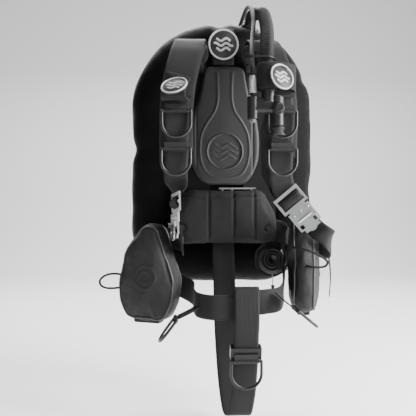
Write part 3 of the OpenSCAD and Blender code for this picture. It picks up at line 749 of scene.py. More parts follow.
BADGE_FLAP = mm([
    (-104, -149, 140), (-107, -152, 131), (-111, -157, 123), (-114, -172, 108),
    (-117, -187, 93), (-116, -184, 87), (-113, -170, 85), (-111, -160, 87), (-109, -154.4, 95)])
FLAP = mm([(74, -147, 132), (61, -153, 132), (56, -168, 132), (62, -188, 132), (79, -195, 132),
           (104, -190, 132), (128, -175, 132), (138, -152, 132)])
BUCKLE_SIDE_R = (0.743, -0.185, 0.643)
BUCKLE_SIDE_L = (0.257, -0.961, 0.104)
LOWER_R = mm([
    (163.4, -139, -157.6), (179.1, -145.9, -176), (189, -162, -187), (205, -163, -198),
    (219, -130, -215), (227, -80, -228), (222, -38, -230), (200, -15, -222),
    (170, -16.5, -212), (146, -20, -201), (128, -25.8, -193), (118, -27.3, -190),
    (104, -27.4, -190)])
TAIL_R = mm([(228, -80, -246), (236, -62, -272), (240, -50, -300), (239, -44, -334)])
LOWER_L = mm([
    (-105.2, -137.3, -173.6), (-104.6, -139.5, -195.5), (-100, -128, -212), (-96, -106, -218),
    (-99, -84, -210), (-123, -66, -204), (-133, -48, -201), (-134, -38, -200),
    (-122, -32.4, -199), (-106, -31.8, -198)])
HANDLE = mm([
    (-3, -32, 190), (-3, -31, 214), (-3, -31, 240), (-3, -32, 262), (-3, -26, 272),
    (-3, -19, 264), (-3, -17, 240), (-3, -16.5, 214), (-3, -16, 198)])
BELT_L = mm([
    (-106, -27.3, -200), (-132, -28, -206), (-168, -31, -222), (-190, -35, -236),
    (-202, -41, -250), (-190, -49, -264), (-150, -64, -284), (-96, -84, -306),
    (-74, -110, -318), (-74, -150, -326), (-66, -186, -331), (-40, -206, -333),
    (10, -211, -332), (42, -210, -331)])
BELT_R = mm([
    (106, -31.8, -188), (122, -32, -188), (131, -38, -196), (133, -54, -217),
    (128, -84, -262), (119, -118, -294), (112, -150, -314), (98, -178, -322),
    (70, -199.5, -323), (34, -205.5, -325)])
TAB_L = mm([(-68, -178, -336), (-82, -179, -344), (-98, -178, -352), (-107, -178, -356)])
TAB_R = mm([(99, -185, -316), (107, -197, -323), (114.5, -205, -329), (121.5, -205, -333.5)])
CROTCH = mm([
    (-2, -31, -212), (-2, -34, -244), (-1, -40, -300), (0, -46, -370), (3, -58, -450),
    (8, -82, -525), (14, -115, -568), (20, -148, -566), (25, -176, -520), (28, -194, -450),
    (28, -209, -390), (28, -217, -360), (28, -217.5, -330), (28, -217, -304),
    (28, -213.5, -296), (28, -206, -293), (28, -198, -299), (28, -197, -345),
    (28, -197, -390), (28, -187, -438)])
HOSE = mm([
    (66.5, 30, 301), (66.5, 30, 305), (68, 26, 313), (73, 13, 320), (82, -14, 313),
    (86, -48, 301), (86, -82, 276), (84, -115, 246), (80, -143, 208), (77, -162, 166),
    (76, -173, 130), (77, -176, 112), (77, -176, 104)])
LP_HOSE = mm([
    (36, 82, 226), (39, 84, 262), (45, 79, 298), (52, 58, 322), (57, 26, 335),
    (60, -12, 331), (62, -48, 305), (60, -82, 266), (53, -113, 228), (48, -142, 196),
    (46, -162, 168), (45, -173, 150), (45, -176, 140), (45, -176, 134.4)])
DUMP_CORD = mm([(111, -26, -283), (111, -26, -289), (111.3, -26, -296), (111.8, -26, -304),
                (112, -26, -313)])
LOOP_L = mm([
    (-228, -80, -280), (-242, -83, -278), (-256, -88, -279), (-267, -92, -284),
    (-273, -94, -292), (-271, -94, -301), (-262, -91, -307), (-248, -86, -309),
    (-228, -80, -308)])
LOOP_R = mm([
    (136, -148, -219), (142, -162, -219), (156, -172, -222), (174, -178, -229),
    (190, -180, -238), (199, -178, -247), (196, -175, -255), (182, -174, -258),
    (168, -173, -257), (157, -160, -256)])
POCKET_OUTLINE = mm([
    (-6, 0), (26, -2), (62, -96), (70, -124), (64, -170), (40, -212), (-50, -206),
    (-64, -176), (-70, -130), (-54, -56)])
POCKET_DEPTH = 0.062
PLACES = {"l": tilted((-0.152, -0.074, -0.166), (-24, "Z")),
          "r": tilted((0.136, -0.092, -0.150), (78, "Z"))}
BUCKLES = {
    "l": ((-0.110, -0.131, -0.104), -75, 84), "r": ((0.119, -0.131, -0.104), -14, 50)}
BUCKLE_WRAP = mm([(12, 0, -1.2), (12.2, 0, 3.0), (15, 0, 7.2), (21, 0, 8.2), (27, 0, 7.2),
                  (29.8, 0, 3.0), (30, 0, -1.2)])
BACK_PAD_Y, LUMBAR_Y, LUMBAR_BACK_Y = -0.042, -0.059, -0.035
EMBLEM_Z, EMBLEM_R = -0.008, 0.040
DUMP = (0.111, -0.0156, -0.254)
LP_X, HOSE_X, ARM_X, INFLATOR_Y = 0.045, 0.077, 0.096, -0.176


def mirrored(route):
    """A left-hand route for the right-hand side."""
    return np.asarray(route) * np.array([-1, 1, 1])


def settings():
    """The user's sizes and colours."""
    return bpy.context.scene.pack_sizes, bpy.context.scene.pack_colours


def finish_for(key):
    """The material of that name, made when it is first asked for."""
    found = bpy.data.materials.get(key)
    if found:
        return found
    c = settings()[1]
    maker, colour, factor, values = {
        "cell cloth": (woven_finish, c.cell, 1, (1.1 * MM, 0.4, 0.2, 0.07, 0.16)),
        "pocket cloth": (woven_finish, c.pocket, 1, (1.5 * MM, 0.42, 0.35, 0.4)),
        "pouch cloth": (woven_finish, c.pocket, 1.8, (1.6 * MM, 0.5, 0.3)),
        "knit cloth": (woven_finish, c.pad, 1, (1.3 * MM, 0.55, 0.25, 0.25)),
        "spacer mesh": (mesh_finish, c.pad, 1, ()),
        "strap webbing": (webbing_finish, c.webbing, 1, ()),
        # Piping: the webbing colour painted seven times lighter, a painted highlight along the pocket
        # edges.
        "piping tape": (moulded_finish, c.webbing, 7.0, (0.35, 900.0, 0.1)),
        "moulded pad": (moulded_finish, c.moulded, 1, (0.5, 900.0, 0.15)),
        "badge rubber": (moulded_finish, c.moulded, 1.3, (0.4, 1200.0, 0.1)),
        "badge print": (moulded_finish, c.print, 1, (0.45, 900.0, 0.08)),
        "hose rubber": (moulded_finish, c.plastic, 0.9, (0.5, 1100.0, 0.1)),
        "black plastic": (moulded_finish, c.plastic, 1, (0.38, 1500.0, 0.08, 0.15)),
        "grey plastic": (moulded_finish, c.plastic, 20.0, (0.4, 1500.0, 0.08)),
        "bright steel": (steel_finish, c.steel, 1, (0.2,)),
        # Rings and grommets: the steel colour painted at under a tenth of the bright steel's, painted
        # shade in place of the dark reflections on them.
        "ring steel": (steel_finish, c.steel, 0.09, (0.2, (300.0, 300.0, 12.0))),
        "plate steel": (steel_finish, c.steel, 0.04, (0.4, (2.0, 2.0, 200.0))),
        "knurled steel": (knurl_finish, c.steel, 1, (LP_X, INFLATOR_Y)),
        "braided cord": (braid_finish, c.webbing, 0.8, ()),
        "pale cord": (braid_finish, (0.35, 0.35, 0.33), 1, ()),
        "thread": (moulded_finish, c.webbing, 5.0, (0.6, 2500.0, 0.05)),
    }[key]
    return maker(key, scaled(colour, factor), *values)


def placed(obj, finish, body=ROOT, replaces=()):
    """Gives a finished piece its material and body, and hides the CAD nodes it stands for."""
    if finish:
        obj.data.materials.clear()
        obj.data.materials.append(finish_for(finish))
    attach(obj, body)
    if replaces:
        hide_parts(*replaces)
    return obj


# ---- the air cell

def cell_path(count):
    """Centre line of the air cell and its outward directions: each arc runs on into a straight."""
    quarter, leg = math.pi / 2, ARCH_Z - CORNER_Z
    runs = [((0, ARCH_Z), ARCH_R, 0, math.pi, leg),
            ((-CORNER_X, CORNER_Z), CORNER_R, math.pi, quarter, 2 * CORNER_X),
            ((CORNER_X, CORNER_Z), CORNER_R, 3 * quarter, quarter, leg)]
    total = sum(radius * sweep + straight for at, radius, start, sweep, straight in runs)
    points, outs = [], []
    for k in range(count):
        d = total * k / count
        for (x, z), radius, start, sweep, straight in runs:
            if d <= radius * sweep + straight:
                break
            d -= radius * sweep + straight
        a = start + min(d / radius, sweep)
        c, s = math.cos(a), math.sin(a)
        past = max(d - radius * sweep, 0)
        points.append((x + radius * c - past * s, CELL_Y, z + radius * s + past * c))
        outs.append((c, 0, s))
    return np.array(points), np.array(outs)


PINCHES = [((-0.199, 0.0), 0.014, 0.011), ((-0.008, 0.296), 0.012, 0.009),
           ((0.186, 0.163), 0.010, 0.010), ((0.205, -0.08), 0.02, 0.004)]


def pinch_at(p, o, reach):
    """Depth of the notches in the air cell's outer edge, from their place, width and depth."""
    edge = p[[0, 2]] + o[[0, 2]] * reach
    return sum(depth * math.exp(-((edge - np.array(at)) ** 2).sum() / (2 * width**2))
               for at, width, depth in PINCHES)


def sway_at(p):
    """Slow wander of the air cell's outer edge."""
    return noise.noise(Vector((p[0] * 14, p[2] * 14, 3.1))) * 0.004


def air_cell(folds):
    """The inflated fabric ring: a fat lens in section, with radial folds round its inner edge."""
    points, outs = cell_path(620)
    rows = 44
    a = np.linspace(0, TURN, rows, endpoint=False)
    c, s = np.cos(a), np.sin(a)
    u = np.sign(c) * np.abs(c) ** 0.92
    v = np.sign(s) * np.abs(s) ** 0.86
    rings = []
    for p, o in zip(points, outs):
        pinch = pinch_at(p, o, CELL_HALF_W)
        crease = noise.noise(Vector((p[0] * 46, p[2] * 46, 9.2)))
        inner = np.clip(-u, 0, 1) ** 1.5
        outer = np.clip(u, 0, 1) ** 2.5
        fold = folds * crease * (inner * 1.0 + outer * 0.45) * np.abs(s) ** 0.4
        flat = 1 - 0.05 * abs(noise.noise(Vector((p[0] * 9, p[2] * 9, 6.0))))
        across = u * CELL_HALF_W + outer * (sway_at(p) - pinch)
        deep = v * (CELL_HALF_T * flat + fold - 0.35 * pinch)
        rings.append(p + across[:, None] * o + deep[:, None] * np.array([0, 1, 0]))
    obj = skin("air_cell", rings, True)

    def wrinkle(co, no):
        amount = ripples(co * np.array([1, 0.7, 1]), 24.0, 2.0) * 0.0016
        amount += ripples(co, 70.0, 5.0) * 0.0006
        return no * amount[:, None]

    reshape(obj, wrinkle)
    return placed(obj, "cell cloth", replaces=["wing_shell", "wing_bladder"])


def cell_binding():
    """Sewn tape round the outer and the inner edge of the air cell."""
    points, outs = cell_path(480)
    loop = round_section(1.0, 10) * mm((4, 4.5))
    objs = []
    for reach in (CELL_HALF_W - 3 * MM, 3 * MM - CELL_HALF_W):
        rings = []
        for p, o in zip(points, outs):
            shift = sway_at(p) - pinch_at(p, o, reach) if reach > 0 else 0
            rings.append(p + (reach + shift + loop[:, :1]) * o + loop[:, 1:] * np.array([0, 1, 0]))
        objs.append(mesh_object("binding", *loft(rings, True)))
    obj = outward(join("cell_binding", objs))
    obj.data.shade_smooth()
    return placed(obj, "knit cloth")


def web_hem():
    """Flat cloth that joins the web between the legs to the air cell all round."""
    points, outs = cell_path(480)
    loop = mm([(-57, 1.4), (-42, 1.4), (-42, 3.6), (-57, 3.6)])
    rings = []
    for p, o in zip(points, outs):
        flat = np.array([p[0], 0, p[2]])
        rings.append(flat + loop[:, :1] * o + loop[:, 1:] * np.array([0, 1, 0]))
    obj = outward(mesh_object("web_hem", *loft(rings, True), smooth=False))
    return placed(obj, "cell cloth")


# ---- operators, one for each piece or group of like pieces

class PACK_OT_camera(bpy.types.Operator):
    """Sets the camera level with the pack, a little to the wearer's right"""
    bl_idname = "pack.camera"
    bl_label = "Camera"

    def execute(self, context):
        data = bpy.data.cameras.new("camera")
        data.lens, data.sensor_width = 51.5, 36.0
        camera = linked("camera", data)
        camera.location = (-0.122, -1.38, -0.136)
        camera.rotation_euler = (math.radians(90), 0, math.radians(-3.6))
        context.scene.camera = camera
        return {"FINISHED"}


class PACK_OT_stage(bpy.types.Operator):
    """Makes a plain pale floor and backdrop and soft studio lights"""
    bl_idname = "pack.stage"
    bl_label = "Stage"

    def execute(self, context):
        low, bend, back = CAD_BOX[0].z - 0.03, 0.8, 2.6
        profile = [(-4.0, low)]
        for a in np.linspace(0, math.pi / 2, 13):
            profile.append((back + bend * math.sin(a), low + bend * (1 - math.cos(a))))
        profile.append((back + bend, low + 4.0))
        verts = [(x, y, z) for y, z in profile for x in (-5.0, 5.0)]
        faces = [(2 * i, 2 * i + 1, 2 * i + 3, 2 * i + 2) for i in range(len(profile) - 1)]
        sweep = mesh_object("floor", verts, faces)
        s = Shader("pale floor")
        sweep.data.materials.append(s.finish(Base_Color=(0.86, 0.86, 0.86), Roughness=0.9))
        world = bpy.data.worlds.new("studio")
        world.use_nodes = True
        world.node_tree.nodes["Background"].inputs[0].default_value = (1, 1, 1, 1)
        world.node_tree.nodes["Background"].inputs[1].default_value = 0.2
        context.scene.world = world
        lamps = [("key", (1.7, -1.1, 1.3), 0.9, 100.0), ("fill", (-0.9, -2.4, 0.9), 1.6, 9.0),
                 ("back", (0.0, 1.6, 2.2), 2.2, 230.0), ("side", (1.7, -0.7, 0.1), 0.9, 90.0)]
        for name, at, size, power in lamps:
            data = bpy.data.lights.new(name, "AREA")
            data.size, data.energy = size, power
            lamp = linked(name, data)
            lamp.location = at
            aim = Vector((0, 0, -0.1)) - Vector(at)
            lamp.rotation_euler = aim.to_track_quat("-Z", "Y").to_euler()
        return {"FINISHED"}


class PACK_OT_cords(bpy.types.Operator):
    """Makes the dump valve's pull cord and the pull loops of the weight pockets"""
    bl_idname = "pack.cords"
    bl_label = "Cords"

    def execute(self, context):
        rows = [
            ("dump_pull_cord", DUMP_CORD, PULL_CORD, "dump_cord", "dump_pull", "pale cord",
             "light_cord", "knot", ["dump_knob"]),
            ("pocket_loop_l", LOOP_L, LOOP_CORD, "pull_loop_l", ROOT, "braided cord",
             "black_cord", "object", []),
            ("pocket_loop_r", LOOP_R, LOOP_CORD, "pull_loop_r", ROOT, "braided cord",
             "black_cord", "object", [])]
        for name, route, wide, node, body, finish, slot, end, riders in rows:
            line = smooth_route(route, 1.2 * MM)[0]
            obj = tube(name, route, wide / 2, 1.2 * MM, 12)
            placed(obj, finish, body, [node])
        return {"FINISHED"}


class PACK_OT_cell(bpy.types.Operator):
    """Makes the inflated air cell, its binding tape and the web between its legs"""
    bl_idname = "pack.cell"
    bl_label = "Air Cell"

    def execute(self, context):
        air_cell(settings()[0].fold_depth)
        cell_binding()
        web_hem()
        return {"FINISHED"}


class PACK_OT_hoses(bpy.types.Operator):
    """Makes the ribbed inflator hose and the smooth low-pressure hose"""
    bl_idname = "pack.hoses"
    bl_label = "Hoses"

    def execute(self, context):
        sizes = settings()[0]
        line = smooth_route(HOSE, 4 * MM)[0]
        ribbed = grown("ribbed_hose", [line], rib_tree(), {
            "Pitch": sizes.rib_pitch, "Hose Radius": HOSE_R, "Rib Radius": RIB_R,
            "Material": finish_for("hose rubber")})
        placed(ribbed, None, replaces=["corrugated_hose"])
        thin = tube("pressure_hose", LP_HOSE, LP_HOSE_R, 4 * MM, 16)
        placed(thin, "hose rubber", replaces=["lp_hose"])
        return {"FINISHED"}


class PACK_OT_shoulders(bpy.types.Operator):
    """Makes the shoulder pads, their outer covers, the hose flap and the shoulder webbing"""
    bl_idname = "pack.shoulders"
    bl_label = "Shoulders"

    def execute(self, context):
        middles = [(0.8, -0.6, 0), (0.9, -0.1, 0.4)]
        rows = [("l", 1, STRAP_TOP, STRAP_END_L, middles[0], BUCKLE_SIDE_L),
                ("r", -1, mirrored(STRAP_TOP), STRAP_END_R, middles[1], BUCKLE_SIDE_R)]
        for side, sign, route, end, middle, buckle in rows:
            lean = (sign, 0, 0)
            pad = swept("shoulder_cushion_" + side, route[1:11], lean, pad_section(PAD_W, PAD_T),
                        2.5 * MM, sign * 8.6 * MM, 0.02)
            placed(pad, "spacer mesh", replaces=["shoulder_pad_" + side])
            cover = swept("shoulder_cover_" + side, route[2:8], lean,
                          pad_section(COVER_W, COVER_T, power=6.0), 2.5 * MM, -sign * 5 * MM,
                          0.006)
            placed(cover, "knit cloth")
            sides = [(1, 0, 0)] * 12 + [middle, buckle, buckle]
            band = strap("shoulder_webbing_" + side, np.vstack([route, end]), sides, WEB_W, WEB_T)
            placed(band, "strap webbing", replaces=["shoulder_strap_" + side])
        lean = [(1, 0, 0)] * 2 + [(0.98, -0.17, 0)] + [(0.94, -0.34, 0)] * 3
        lean += [(0.98, -0.17, 0)] + [(1, 0, 0)] * 2
        for name, route, side in (("badge_flap", BADGE_FLAP, lean), ("hose_flap", FLAP, (0, 0, 1))):
            flap = swept(name, route, side, pad_section(FLAP_W, FLAP_T, power=8.0), 2 * MM, 0,
                         0.004)
            placed(flap, "knit cloth")
        return {"FINISHED"}


class PACK_OT_straps(bpy.types.Operator):
    """Makes the lower straps, belt halves, ring tabs, crotch strap and carrying handle"""
    bl_idname = "pack.straps"
    bl_label = "Straps"

    def execute(self, context):
        upright = (0, 0, 1)
        lower_r = [BUCKLE_SIDE_R, BUCKLE_SIDE_R, (0.6, -0.2, 0.75), (0.4, -0.2, 0.9)]
        lower_r += [upright] * 9
        lower_l = [tuple(-c for c in BUCKLE_SIDE_L)] * 2 + [(-0.2, 0.7, 0.7)] + [upright] * 7
        rows = [
            ("lower_webbing_r", LOWER_R, lower_r, LOWER_W, ["lower_straps"]),
            ("lower_webbing_l", LOWER_L, lower_l, LOWER_W, []),
            ("strap_tail", TAIL_R, (0.3, 1, 0.2), TAIL_W, []),
            ("belt_webbing_l", BELT_L, upright, WEB_W, ["waist_belt_l"]),
            ("belt_webbing_r", BELT_R, upright, WEB_W, ["waist_belt_r"]),
            ("ring_tab_l", TAB_L, (0, 1, 0), TAB_W, []),
            ("ring_tab_r", TAB_R, (0, 1, 0), TAB_W, []),
            ("crotch_webbing", CROTCH, (1, 0, 0), WEB_W, ["crotch_strap"]),
            ("handle_webbing", HANDLE, (1, 0, 0), WEB_W, ["top_handle"])]
        for name, route, side, width, nodes in rows:
            placed(strap(name, route, side, width, WEB_T), "strap webbing",
                   replaces=nodes)
        for side, (at, turn, slope) in BUCKLES.items():
            place = tilted(at, (turn, "Z"), (slope, "Y"), (90, "X"))
            wrap = strap("buckle_wrap_" + side, BUCKLE_WRAP, (0, 1, 0), 0.0495, 0.0022, 1.5 * MM)
            wrap.data.transform(place)
            placed(wrap, "strap webbing")
        return {"FINISHED"}


class PACK_OT_back_pad(bpy.types.Operator):
    """Makes the moulded back pad with its ridges and emblem"""
    bl_idname = "pack.back_pad"
    bl_label = "Back Pad"

    def execute(self, context):
        half = mm([(44, 184), (49, 150), (58, 110), (74, 70), (80, 20), (78, -30), (62, -66),
                   (44, -84)])
        outline = closed_outline(np.vstack([half, half[::-1] * [-1, 1]]), 360, 0.018)
        neck = mm([(17, 168), (16, 110), (22, 84), (40, 56), (52, 30), (56, -8), (50, -40),
                   (34, -62), (0, -70)])
        spine = smooth_route(np.hstack([neck, np.zeros((len(neck), 1))]), 2 * MM)[0][:, :2]

        def relief(x, z):
            spots = np.stack([np.abs(x), z], axis=1)
            away = np.sqrt(((spots[:, None, :] - spine[None, :, :]) ** 2).sum(axis=2)).min(axis=1)
            ridge = 0.0015 * np.exp(-(away / 0.0026) ** 2)
            r = np.hypot(x, z - EMBLEM_Z)
            ring = 0.0016 * np.exp(-((r - EMBLEM_R) / 0.0018) ** 2)
            dish = -0.0016 * (1 / (1 + np.exp((r - 0.038) / 0.0007)))
            grooves = -0.0012 * np.exp(-((np.abs(x) - 0.064) / 0.0022) ** 2)
            waves = 0.0
            for k in (-1, 0, 1):
                line = z - EMBLEM_Z - 0.013 * k - 0.004 * np.sin(x * 180.0)
                bar = np.exp(-(line / 0.0022) ** 2) * (r < 0.030)
                waves = waves + 0.0016 * bar
            return ridge + ring + dish + waves + grooves * (z < 0.10)

        obj = puff("back_cushion", outline, mm((0, 30)), 0.028, -BACK_PAD_Y - 0.001, 0.011, 120,
                   relief)
        placed(obj, "moulded pad", replaces=["back_pad", "back_emblem"])
        return {"FINISHED"}


class PACK_OT_lumbar(bpy.types.Operator):
    """Makes the padded lumbar cushion with its sewn channels"""
    bl_idname = "pack.lumbar"
    bl_label = "Lumbar Pad"

    def execute(self, context):
        half = mm([(84, -92), (97, -104), (121, -152), (122, -190), (112, -212), (92, -220)])
        outline = closed_outline(np.vstack([half, half[::-1] * [-1, 1]]), 300, 0.014)
        obj = puff("lumbar_cushion", outline, mm((0, -158)), -LUMBAR_BACK_Y + 0.002,
                   -LUMBAR_Y - 0.004, 0.022, 40)
        inflate(obj, 4.2 * MM, settings()[0].pad_pressure, 0.005)

        def channels(co, no):
            front = np.clip(-no[:, 1], 0, 1)
            depth = sum(0.0028 * np.exp(-((co[:, 0] - x) / 0.0032) ** 2)
                        for x in (-0.037, 0.019, 0.065))
            depth = depth + 0.003 * np.exp(-((co[:, 2] + 0.111) / 0.003) ** 2)
            eyes = sum(0.005 * np.exp(-((co[:, 0] - x) ** 2 + (co[:, 2] + 0.180) ** 2) / 0.009**2)
                       for x in (-0.096, 0.096))
            rumple = ripples(co, 38.0, 1.0) * 0.0012
            offset = no * (rumple * front)[:, None]
            offset[:, 1] += front * (depth + eyes)
            return offset

        reshape(obj, channels)
        placed(obj, "spacer mesh", replaces=["lumbar_pad"])
        return {"FINISHED"}


def pocket_body(side, push):
    """One weight pocket: a swollen box of cloth, fuller below, with a creased skirt."""
    outline = closed_outline(POCKET_OUTLINE, 260, 0.016)
    obj = puff("pocket_" + side, outline, mm((0, -112)), 0.004, POCKET_DEPTH - 0.004, 0.020, 34)
    inflate(obj, 4.2 * MM, push, 0.006)

    def sag(co, no):
        low = np.clip((-co[:, 2] - 0.10) / 0.11, 0, 1)
        front = np.clip(-no[:, 1], 0, 1)
        rumple = ripples(co * np.array([1, 1, 0.5]), 34.0, 4.0 if side == "l" else 8.0)
        fine = ripples(co, 90.0, 2.0)
        emboss = np.hypot(co[:, 0] - 0.002, co[:, 2] + 0.115)
        mark = 0.0014 * np.exp(-((emboss - 0.024) / 0.0022) ** 2)
        mark = mark + 0.0012 * np.exp(-((emboss - 0.012) / 0.0020) ** 2)
        seam = -0.0026 * np.exp(-((co[:, 0] - 0.030 - (co[:, 2] + 0.03) * -0.30) / 0.0028) ** 2)
        for x, lean, wide, high in ((-0.030, 0.35, 0.006, 0.0035), (0.012, -0.2, 0.005, 0.003),
                                    (-0.004, 0.6, 0.007, 0.003)):
            fold = np.exp(-((co[:, 0] - x - (co[:, 2] + 0.16) * lean) / wide) ** 2)
            seam = seam + high * fold * low
        offset = no * (rumple * (0.0012 + 0.0030 * low) + fine * 0.0006)[:, None]
        offset[:, 1] -= front * (mark + seam)
        return offset

    reshape(obj, sag)
    obj.data.transform(PLACES[side])
    return placed(obj, "pocket cloth", replaces=["weight_pocket_" + side])


def laid_on(obj, points, lift):
    """The points moved to the nearest place on the object, and lifted off it."""
    out = []
    for p in points:
        near, normal = obj.closest_point_on_mesh(Vector(p))[1:3]
        out.append(near + normal * lift)
    return np.array(out)


def looped_cord(name, points, radius):
    """A closed round cord through the points."""
    t = unit(np.roll(points, -1, axis=0) - np.roll(points, 1, axis=0))
    s = unit(np.cross(t, np.array([0.3, 1.0, 0.2])))
    n = np.cross(t, s)
    loop = round_section(radius, 8)
    return skin(name, [p + loop[:, :1] * a + loop[:, 1:] * c for p, a, c in zip(points, s, n)],
                True)


def pocket_trim(side, body):
    """Piping on both edges of the gusset, laid on the swollen body."""
    outline = closed_outline(POCKET_OUTLINE, 260, 0.016)
    middle = np.array([0, -0.112])
    objs = []
    for depth, inset in ((0.010, 0.005), (POCKET_DEPTH - 0.009, 0.007)):
        flat = outline - unit(outline - middle) * inset
        line = np.stack([flat[:, 0], np.full(len(flat), -depth), flat[:, 1]], axis=1)
        line = np.array([PLACES[side] @ Vector(p) for p in line])
        line = laid_on(body, line, 0.0006)
        for k in range(3):
            line = (line + np.roll(line, 1, axis=0) + np.roll(line, -1, axis=0)) / 3
        objs.append(looped_cord("piping", line, 0.0021))
    obj = join("pocket_piping_" + side, objs)
    obj.data.shade_smooth()
    # The piping's colour holds a painted highlight.
    return placed(obj, "piping tape")


class PACK_OT_pockets(bpy.types.Operator):
    """Makes the two weight pockets, their piping and the pouches inside them"""
    bl_idname = "pack.pockets"
    bl_label = "Weight Pockets"

    def execute(self, context):
        for side in ("l", "r"):
            pocket_trim(side, pocket_body(side, settings()[0].pad_pressure))
            body = block((0.080, 0.040, 0.144), Matrix.Translation((-0.004, -0.031, -0.132)), 0.008)
            tongue = block((0.060, 0.028, 0.012), Matrix.Translation((-0.004, -0.031, -0.208)),
                           0.004)
            pouch = fused("pouch_" + side, [body, tongue], 2.4 * MM, 3)
            pouch.data.transform(PLACES[side])
            placed(pouch, "pouch cloth", "weight_pouch_" + side,
                   ["weight_pouch_" + side])
        return {"FINISHED"}


def emblem(place, radius, height):
    """A round rubber badge: a base, and above it a raised rim and three waves for printing."""
    e = 0.0008
    base = lathe("base", [(0.001, 0), (radius - e, 0), (radius, e), (radius, height - e),
                          (radius - e, height), (0.001, height)], 64, place)
    rim = lathe("rim", [(radius * 0.86, height - 0.0004), (radius * 0.87, height + 0.0012),
                        (radius * 0.92, height + 0.0020), (radius * 0.975, height + 0.0016),
                        (radius * 0.99, height - 0.0004)], 64, place)
    marks = [rim]
    for k in (-1, 0, 1):
        span = radius * (0.62 if k == 0 else 0.46)
        x = np.linspace(-span, span, 30)
        y = radius * 0.30 * k + radius * 0.09 * np.sin(x / radius * 9.0)
        line = np.stack([x, y, np.full(len(x), height)], axis=1)
        loop = round_section(1.0, 8) * np.array([radius * 0.075, 0.0011])
        bar = swept("wave", line, (0, 1, 0), loop, radius * 0.05)
        bar.data.transform(place)
        marks.append(bar)
    return base, join("marks", marks)


class PACK_OT_badges(bpy.types.Operator):
    """Makes the round badges on the handle and the shoulders"""
    bl_idname = "pack.badges"
    bl_label = "Badges"

    def execute(self, context):
        rows = [("top", (-0.003, -0.0365, 0.234), 0, 4, 0.035, "top_badge"),
                ("l", (-0.114, -0.1734, 0.1094), -20, -45, 0.028, "badge_l"),
                ("r", (0.0995, -0.1952, 0.1265), 26, -14, 0.028, "badge_r")]
        for tag, at, turn, slope, radius, node in rows:
            place = tilted(at, (turn, "Z"), (slope, "X"), (90, "X"))
            base, marks = emblem(place, radius, 0.004)
            base.name = "badge_base_" + tag
            marks.name = "badge_print_" + tag
            placed(base, "badge rubber", replaces=[node])
            placed(marks, "badge print")
        return {"FINISHED"}


class PACK_OT_inflator(bpy.types.Operator):
    """Makes the moulded inflator body and its rubber mouthpiece"""
    bl_idname = "pack.inflator"
    bl_label = "Inflator"

    def execute(self, context):
        y = INFLATOR_Y
        parts = [
            rod(0.011, (LP_X, y, 0.044), (LP_X, y, 0.092), 0.0015),
            rod(0.0049, (LP_X, y, 0.090), (LP_X, y, 0.113)),
            rod(0.010, (LP_X, y, 0.066), (ARM_X, y, 0.066)),
            block((ARM_X - LP_X, 0.018, 0.028),
                  Matrix.Translation(((ARM_X + LP_X) / 2, y, 0.074)), 0.004),
            rod(0.0134, (HOSE_X, y, 0.078), (HOSE_X, y, 0.1036), 0.001),
            rod(0.0135, (ARM_X, y, 0.030), (ARM_X, y, 0.092), 0.002),
            rod(0.0120, (ARM_X, y, 0.066), (ARM_X, y - 0.017, 0.066), 0.001)]
        body = fused("inflator_case", parts, 0.9 * MM, 5)
        placed(body, "black plastic", replaces=["inflator_body"])
        lip = [(0.008, 0.0), (0.0145, 0.0), (0.016, 0.0015), (0.0155, 0.004), (0.0125, 0.006),
               (0.012, 0.011), (0.0148, 0.0125), (0.015, 0.0165), (0.012, 0.0178), (0.008, 0.0178)]
        rings = profile_rings(lip, 40)
        rings[1:4, :, 1] *= 0.62
        mouth = skin("mouth_grip", rings, True)
        mouth.data.transform(Matrix.Translation((ARM_X, y, 0.012)))
        placed(mouth, "hose rubber", replaces=["mouthpiece"])
        return {"FINISHED"}


class PACK_OT_dump_valve(bpy.types.Operator):
    """Makes the dump valve's cap with concentric steps"""
    bl_idname = "pack.dump_valve"
    bl_label = "Dump Valve"

    def execute(self, context):
        cap = [(0.028, 0.0063), (0.0322, 0.0063), (0.033, 0.0072), (0.033, 0.0130),
               (0.032, 0.0143), (0.0275, 0.0143), (0.0268, 0.0160), (0.0225, 0.0162),
               (0.0218, 0.0150), (0.0195, 0.0150), (0.0188, 0.0163), (0.0150, 0.0165),
               (0.0143, 0.0152), (0.0125, 0.0152), (0.0120, 0.0175), (0.0105, 0.0178),
               (0.0100, 0.0168), (0.0005, 0.0168), (0.0005, 0.0125), (0.028, 0.0125)]
        obj = lathe("valve_cap", cap, 72, tilted(DUMP, (90, "X")), True)
        placed(obj, "black plastic", replaces=["dump_cap"])
        return {"FINISHED"}


class PACK_OT_stitching(bpy.types.Operator):
    """Sews thread lines along the shoulder covers and the straps"""
    bl_idname = "pack.stitching"
    bl_label = "Stitching"

    def execute(self, context):
        sizes = settings()[0]
        lines = []

        def edge_run(route, side, reach, out, first=0):
            points, share = smooth_route(route, 4 * MM)[:2]
            s, n = route_frames(points, side, share)
            for sign in (-1, 1):
                lines.append((points + s * sign * reach + n * out)[first:])

        for k in (1, -1):
            route = STRAP_TOP if k > 0 else mirrored(STRAP_TOP)
            edge_run(route[2:8], (k, 0, 0), 0.0285, -k * 0.0079)
            edge_run(route[7:11], (k, 0, 0), 0.0310, k * 0.0052)
        edge_run(CROTCH, (1, 0, 0), 0.0215, 0.0015, 60)
        edge_run(BELT_L, (0, 0, 1), 0.0215, 0.0015)
        edge_run(BELT_R, (0, 0, 1), 0.0215, -0.0015)
        thread = grown("thread_runs", lines, stitch_tree(), {
            "Pitch": sizes.stitch_pitch, "Bead Length": 0.0014, "Thread Radius": 0.00035,
            "Material": finish_for("thread")})
        placed(thread, None)
        return {"FINISHED"}


